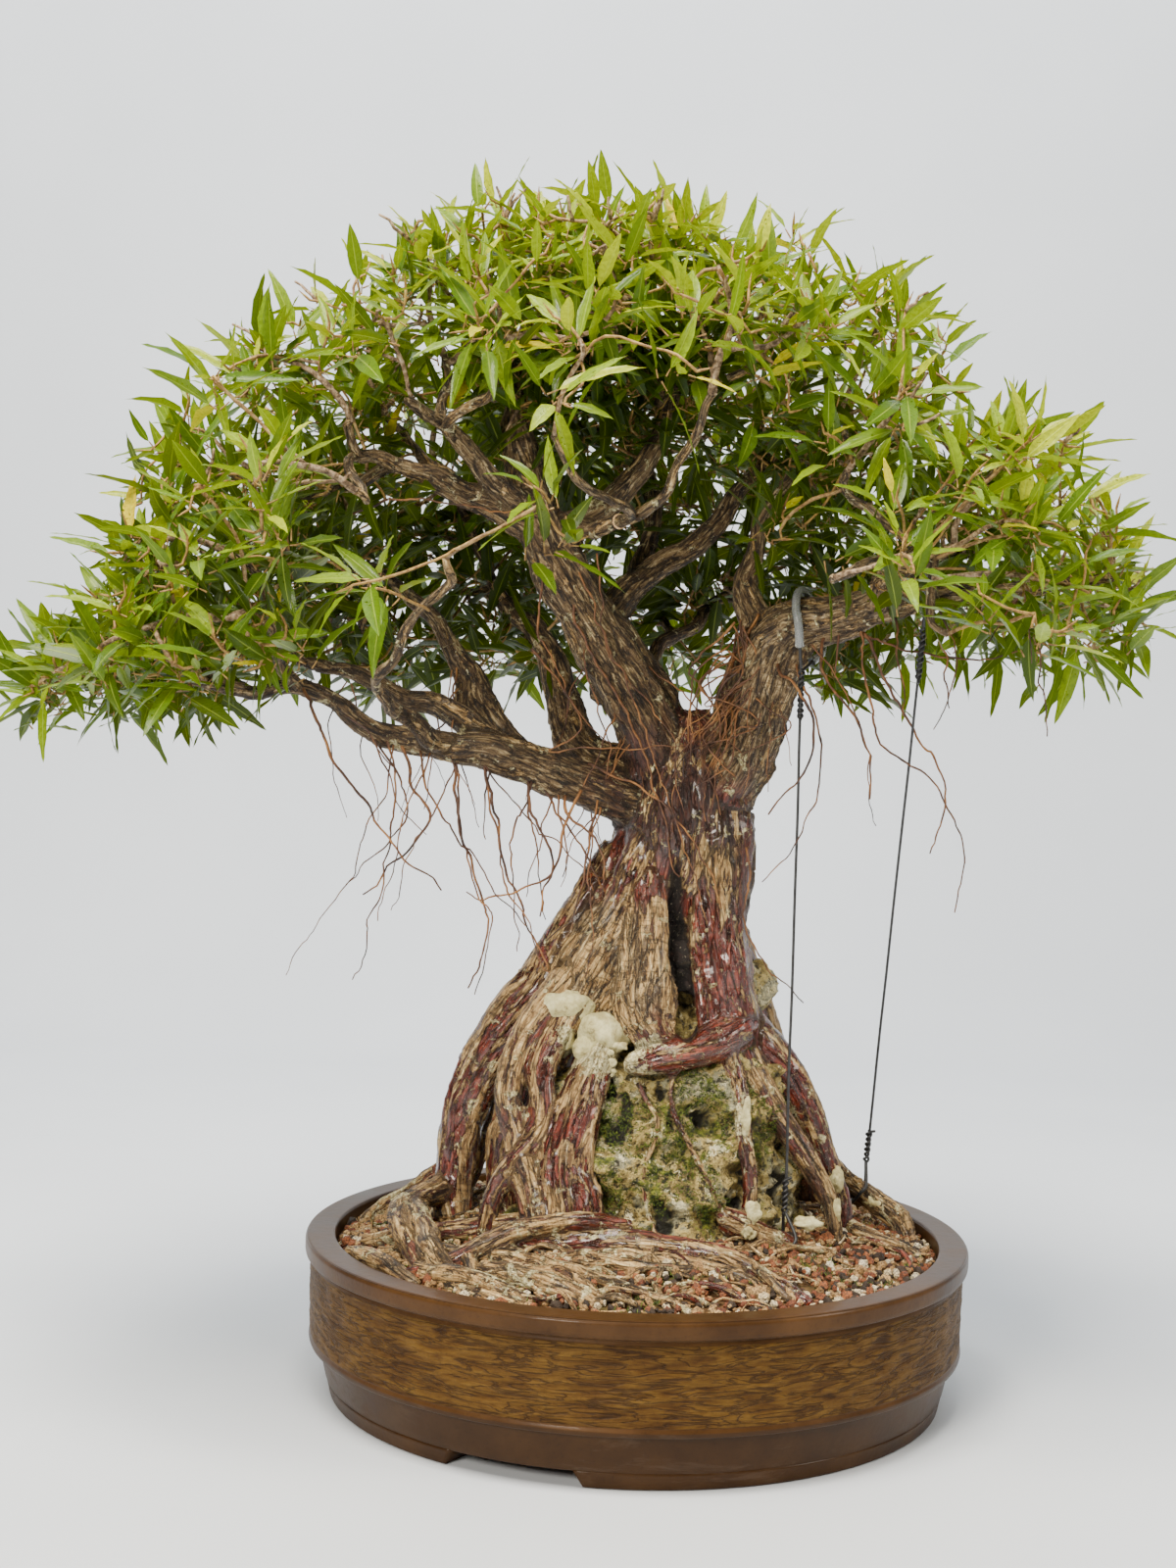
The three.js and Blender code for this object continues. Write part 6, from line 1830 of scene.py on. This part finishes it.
THIN_ROOTS = [
    [(-160, -32, 386), (-139, -40, 353), (-150, -46, 330), (-178, -48, 303)],
    [(-116, -24, 385), (-107, -40, 319), (-92, -42, 285), (-102, -45, 240)],
    [(-99, -22, 384), (-90, -36, 340), (-81, -40, 308), (-56, -40, 257)],
    [(120, -30, 468), (135, -45, 400), (165, -45, 372), (186, -45, 338), (181, -45, 300)],
    [(94, -32, 452), (124, -45, 399), (128, -45, 370), (134, -45, 348)],
    [(86, -24, 440), (101, -38, 387), (91, -40, 341), (69, -36, 312)],
    [(-57, -10, 515), (-34, -20, 468), (-14, -24, 425), (4, -26, 380), (22, -26, 334), (35, -24, 286)],
    [(-177, -44, 521), (-140, -42, 531), (-108, -38, 528), (-63, -30, 521)],
    [(-36, -10, 378), (16, -22, 351), (46, -22, 294), (50, -26, 248)],
    [(-65, -12, 503), (-68, -16, 458), (-48, -22, 420), (-25, -22, 390)],
    [(-34, -12, 504), (-28, -16, 453), (-6, -22, 420), (15, -24, 391), (16, -24, 339)],
    [(58, -6, 462), (42, -22, 446), (23, -26, 425), (30, -26, 374)],
    [(60, -8, 455), (31, -24, 431), (21, -24, 400), (33, -22, 368)],
    [(-72, -14, 446), (-37, -22, 401), (-59, -24, 383), (-20, -22, 388), (21, -20, 391)],
    [(-40, -14, 362), (-60, -30, 309), (-84, -36, 300), (-109, -40, 302)],
    [(-30, -12, 356), (-40, -32, 292), (-57, -36, 274)],
    [(60, -12, 330), (61, -26, 290), (72, -26, 262), (94, -22, 243)],
    [(-28, -14, 352), (-35, -32, 309), (-30, -34, 280), (-35, -36, 252)],
    [(-14, 10, 448), (10, -14, 428), (36, -20, 402), (48, -18, 380)],
    [(56, 4, 470), (46, -16, 430), (50, -22, 400), (40, -24, 376)],
    [(64, -10, 470), (52, -24, 440), (40, -26, 418), (44, -26, 392), (36, -22, 370)],
    [(112, -30, 462), (150, -30, 452), (186, -28, 446), (214, -34, 450)],
]
FORK_ROOTS = 22
HANG_STEP = 14
# Limbs that roots hang from: limb, how many roots, from and to what share of its length, and their reach
HOSTS = [(0, 16, 0.12, 0.75, 150), (1, 4, 0.2, 0.8, 90), (3, 18, 0.0, 0.45, 110), (10, 7, 0.45, 0.85, 90),
         (12, 5, 0.0, 0.3, 90), (13, 4, 0.2, 0.5, 90), (2, 4, 0.1, 0.6, 80)]


def fork_root():
    """One of the tangled roots that hang in the fork, left of the right limb."""
    top = np.array([rng.uniform(44, 72), rng.uniform(-24, -12), rng.uniform(428, 468)])
    foot = np.array([rng.uniform(8, 62), rng.uniform(-34, -24), rng.uniform(338, 388)])
    rows = top + (foot - top) * np.linspace(0, 1, 5)[:, None]
    rows[1:-1] += rng.normal(0, 1, (3, 3)) * [9, 3, 3]
    rows[:, 1] = np.minimum(rows[:, 1], -18)
    return rows


def limb_root(line, low, high, reach):
    """A root that hangs from a limb's line and drifts as it grows down."""
    at = line[int((low + (high - low) * rng.random()) * (len(line) - 1))]
    drift = rng.normal(0, 0.45, 3) * [1, 0.5, 0]
    length = reach * rng.uniform(0.35, 1.1)
    rows = [at[:3] + np.array([0, -0.4 * at[3], -0.5 * at[3]])]
    way = unit(np.array([0, -0.5, -0.6]) + drift)
    for _ in range(int(length / HANG_STEP)):
        drift = drift + rng.normal(0, 0.28, 3) * [1, 0.5, 0.2]
        way = unit(0.55 * way - 0.75 * UP + 0.5 * drift)
        rows.append(rows[-1] + way * HANG_STEP)
    return np.array(rows)


def hang_root(skin, route, thick):
    line = spline(route, 3.6)
    fade = np.minimum(np.arange(len(line)) / 5.0, 1)[:, None]
    radii = np.linspace(thick, 0.45 * thick, len(line)) * (1 + 0.2 * value_noise(line * 0.3, 5))
    skin.tube(line + 6.0 * wander(line, 0.05, 3, 140) * fade, radii, 5)


def make_aerial_roots():
    skin = Skin()
    for route in AERIAL_ROOTS:
        hang_root(skin, route, 1.1)
    for route in THIN_ROOTS:
        hang_root(skin, route, rng.uniform(0.6, 0.95))
    for _ in range(FORK_ROOTS):
        hang_root(skin, fork_root(), rng.uniform(0.45, 0.95))
    for limb, count, low, high, reach in HOSTS:
        line = spline(LIMBS[limb], 3.0)
        for _ in range(count):
            rows = limb_root(line, low, high, reach)
            if len(rows) > 2:
                hang_root(skin, wire_clear(rows, 6.0), rng.uniform(0.4, 0.85))
    show_skin("aerial_roots", skin, hanging_material(), "bark")


# Guy wires

LOOP_RADIUS, RUN_RADIUS = 1.0, 0.85
SLEEVE_OUTSIDE, SLEEVE_INSIDE = 2.6, 1.6


def loop_round(centre, axis, radius, apex):
    """A loop that starts and ends at its apex."""
    centre, axis = np.array(centre, float), unit(np.array(axis, float))
    to_apex = apex - centre
    to_apex = unit(to_apex - axis * np.dot(to_apex, axis))
    beside = np.cross(axis, to_apex)
    rows = [apex + beside * 1.2]
    for degrees in range(60, 301, 30):
        angle = math.radians(degrees)
        rows.append(centre + to_apex * radius * math.cos(angle) + beside * radius * math.sin(angle))
    rows.append(apex - beside * 1.2)
    return np.array(rows)


def helix(start, end, turns, radius, phase, tail=0.0):
    """Twisted wire between two places, with a loose tail."""
    axis = unit(end - start)
    side = unit(np.cross(axis, [1.0, 0.3, 0.1]))
    other = np.cross(axis, side)
    t = np.linspace(0, 1, int(turns * 12) + 1)[:, None]
    angle = phase + t * turns * FULL_TURN
    swell = radius * (1 + 0.18 * np.sin(t * 23))
    rows = start + (end - start) * t + (side * np.cos(angle) + other * np.sin(angle)) * swell
    if tail:
        rows = np.vstack([rows, rows[-1] + unit(rows[-1] - rows[-2] + (rows[-1] - end)) * tail])
    return rows


def add_sleeve(name, loop, material, node):
    covered = np.vstack([(loop[0] + loop[1]) / 2, loop[1:-1], (loop[-1] + loop[-2]) / 2])
    line = spline(covered, 1.6)
    sleeve = Skin()
    sleeve.tube(line, np.full(len(line), SLEEVE_OUTSIDE), 14, ends=False)
    sleeve.tube(line[::-1], np.full(len(line), SLEEVE_INSIDE), 14, ends=False)
    show_skin(name, sleeve, material, "clear_sleeve", node)


def make_wires():
    black, clear = wire_material(), sleeve_material()
    for side, wire in WIRES.items():
        top, bottom = np.array(wire["top"], float), np.array(wire["bottom"], float)
        skin = Skin()
        top_loop = loop_round(wire["limb"], wire["limb_axis"], wire["limb_radius"], top)
        low_loop = loop_round(wire["root"], wire["root_axis"], wire["root_radius"], bottom)
        for loop in (top_loop, low_loop):
            line = spline(loop, 1.6)
            skin.tube(line, np.full(len(line), LOOP_RADIUS), 10)
        way = bottom - top
        for start, end, turns in ((top, top + way * 0.09, 4.5), (bottom, bottom - way * 0.06, 3.0)):
            for phase, tail in ((0.0, 0.0), (math.pi, 4.0)):
                line = helix(start, end, turns, 1.25, phase, tail)
                skin.tube(line, np.full(len(line), RUN_RADIUS), 8)
        run = top + way * np.linspace(0.02, 0.98, 40)[:, None]
        sway = np.stack([value_noise(run * 0.02, 160 + k) for k in range(3)], 1) * [0.5, 0.5, 0]
        skin.tube(run + sway, np.full(len(run), RUN_RADIUS), 8)
        show_skin(f"wire_{side}", skin, black, "wire", f"guy_wire_{side}")
        add_sleeve(f"clear_sleeve_{side}", top_loop, clear, f"sleeve_{side}")


# Putty and moss

# Smaller dabs of putty and crust: centre, half sizes and seed
DABS = (((-46, -26, 216), (5, 4, 7), 215), ((60, -63, 176), (2.6, 2.0, 10), 217),
        ((66, -69, 122), (4.5, 2.0, 5.5), 219), ((63, -69, 110), (4.0, 1.8, 4.0), 221),
        ((120, -8, 128), (3.2, 3.2, 8), 223), ((118, -30, 116), (2.4, 2.4, 7), 225),
        ((150, 32, 108), (6, 5, 4), 229), ((100, -48, 112), (8, 5, 3.5), 231))
CRUMBS = 16
TUFTS = 2800


def lump(skin, centre, size, seed, steps=30, uneven=0.22):
    ball = ball_grid(steps)
    swell = 1 + uneven * fractal(ball * 1.3 + seed, 2, seed) + 0.05 * ridged(ball * 2.2 + seed, 4, seed + 7)
    skin.add(ball * swell[:, None] * size + np.array(centre, float), [ball_quads(steps)])


def make_putty():
    upper, lower, dabs = Skin(), Skin(), Skin()
    lump(upper, (-46, -18, 231), (16.5, 11, 12.5), 201)
    lump(lower, (-23, -28, 217), (16, 12.5, 12.5), 207)
    lump(lower, (-33, -31, 209), (9, 7, 9), 209, 24)
    for centre, size, seed in DABS:
        lump(dabs, centre, size, seed, 16, 0.75)
    for _ in range(CRUMBS):
        x, z = rng.normal(-12, 11), rng.normal(203, 6)
        size = rng.uniform(1.4, 3.6, 3) * [1.4, 0.35, 0.8]
        lump(dabs, (x, -41 + 0.35 * abs(x + 18), z), size, rng.integers(999), 8, 0.7)
    show_skin("putty_lump_upper", upper, PUTTY, "putty", "putty_upper", poles=True)
    show_skin("putty_lump_lower", lower, PUTTY, "putty", "putty_lower", poles=True)
    show_skin("putty_dabs", dabs, PUTTY, "putty", poles=True)


def make_cut_face():
    """The sawn end of a removed branch."""
    sides = 24
    way = unit(np.array([26.0, -36.0, 2.0]))
    side = unit(np.cross(way, UP))
    other = np.cross(way, side)
    turn = (np.arange(sides) / sides * FULL_TURN)[:, None]
    middle = np.array([-22, -36, 521.0]) + way * 2.6
    rows = [middle + (side * np.cos(turn) + other * np.sin(turn)) * radius + way * height
            for radius, height in ((4.6, -2.0), (4.4, 0.0), (3.2, 0.35), (1.6, 0.2))]
    fan = end_fans(len(rows), sides, 0, len(rows) * sides)[1]
    face = Skin()
    face.add(np.vstack(rows + [middle]), [grid_quads(len(rows), sides), fan])
    show_skin("cut_face", face, cut_wood_material(), "bark")


def tuft_on_rock():
    """Place and normal of a tuft on the rock's front, or nothing off the mossy patches."""
    turn, z = rng.uniform(math.pi, FULL_TURN), rng.uniform(92, 215)
    normal = unit(np.array([math.cos(turn), math.sin(turn), 0.3]))
    place = rock_surface(np.array(turn), np.array(z)) + normal * 1.0
    return None if fractal(place[None] * 0.03, 3, 44)[0] < -0.05 else (place, normal)


def tuft_on_soil():
    x, y = disc_place(174)
    place = np.array([x, y, soil_height(math.hypot(x, y)) + 1.6])
    bed = math.hypot((x - 36) / 44, (y + 118) / 13) < 1
    return (place, UP) if bed or fractal(place[None] * 0.03, 3, 49)[0] >= 0.12 else None


def add_tuft(skin, place, normal):
    """Three slim blades."""
    for _ in range(3):
        lean = unit(normal + rng.normal(0, 0.5, 3))
        foot = place + rng.normal(0, 1.3, 3) * (1 - np.abs(normal))
        height = rng.uniform(1.6, 3.6)
        side = unit(np.cross(lean, rng.normal(0, 1, 3))) * rng.uniform(0.25, 0.45)
        other = 0.87 * np.cross(lean, side)
        points = np.array([foot + side, foot - 0.5 * side + other, foot - 0.5 * side - other,
                           foot + lean * height])
        skin.add(points, [[(0, 1, 3), (1, 2, 3), (2, 0, 3)]], kind=rng.random())


def make_moss():
    skin = Skin()
    placed = 0
    while placed < TUFTS:
        found = tuft_on_rock() if rng.random() < 0.72 else tuft_on_soil()
        if found:
            add_tuft(skin, *found)
            placed += 1
    show_skin("moss", skin, moss_material(), "soil")


# Build

make_pot()
for side in ("left", "right"):
    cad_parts[f"drain_screen_{side}"].material_slots[0].material = screen_material()
make_soil()
make_rock()
make_wood()
make_more_roots()
make_crown()
make_aerial_roots()
make_wires()
make_putty()
make_cut_face()
make_moss()


# Stage

def stage_material():
    g = Graph("studio paper")
    tone = g.noise(g.position(), 3.0, 3.0)
    colour = g.ramp(tone, (0.3, (0.63, 0.668, 0.715)), (0.7, (0.67, 0.708, 0.755)))
    return g.finish({"Base Color": colour, "Roughness": 0.9})


def make_stage():
    """A floor that curves up into a wall."""
    run = [(-2600.0, 0.0), (1200.0, 0.0)]
    run += [(1200 + 500 * math.sin(a), 500 - 500 * math.cos(a)) for a in np.linspace(0, math.pi / 2, 16)[1:]]
    run += [(1700.0, 3200.0)]
    across = np.linspace(-3500, 3500, 15)
    points = np.array([(x, y, z - 0.4) for x in across for y, z in run])
    quads = grid_quads(len(across), len(run), closed=False)[:, [0, 3, 2, 1]]
    mesh = make_mesh("backdrop", points, [quads])
    mesh.materials.append(stage_material())
    linked("backdrop", mesh)


def area_light(name, place, target, size, power, colour):
    data = bpy.data.lights.new(name, "AREA")
    data.shape = "RECTANGLE"
    data.size, data.size_y = size
    data.energy = power
    data.color = colour
    lamp = linked(name, data)
    away = unit(np.array(place) - np.array(target))
    side = unit(np.cross(UP, away))
    up = np.cross(away, side)
    lamp.matrix_world = Matrix([[side[k], up[k], away[k], place[k]] for k in range(3)] + [[0, 0, 0, 1]])


def make_lights():
    warm = (1.0, 0.930, 0.815)
    area_light("overhead", (-0.3, -0.7, 2.2), (0.0, 0.0, 0.3), (1.2, 0.9), 118, warm)
    area_light("front", (-1.1, -2.3, 1.3), (0.0, 0.0, 0.30), (0.7, 0.55), 66, warm)
    area_light("side", (2.0, -0.8, 1.3), (0.0, 0.0, 0.35), (0.6, 0.7), 26, warm)
    area_light("wall", (0.0, 0.75, 2.6), (0.0, 1.7, 0.9), (3.0, 0.5), 58, (0.92, 0.96, 1.0))
    world = bpy.data.worlds.new("room")
    world.use_nodes = True
    background = world.node_tree.nodes["Background"]
    background.inputs[0].default_value = (0.94, 0.95, 0.96, 1)
    background.inputs[1].default_value = 0.15
    bpy.context.scene.world = world


def make_camera():
    data = bpy.data.cameras.new("camera")
    data.lens = 49.25
    data.sensor_width = 36.0
    data.sensor_fit = "AUTO"
    camera = linked("camera", data)
    place = np.array([-36.0, -1300.0, 404.0]) * MM + POT_CENTRE
    down, roll = math.radians(1.7), math.radians(1.38)
    camera.matrix_world = (Matrix.Translation(place.tolist()) @ Matrix.Rotation(math.pi / 2 - down, 4, "X")
                           @ Matrix.Rotation(roll, 4, "Z"))
    bpy.context.scene.camera = camera


make_stage()
make_lights()
make_camera()
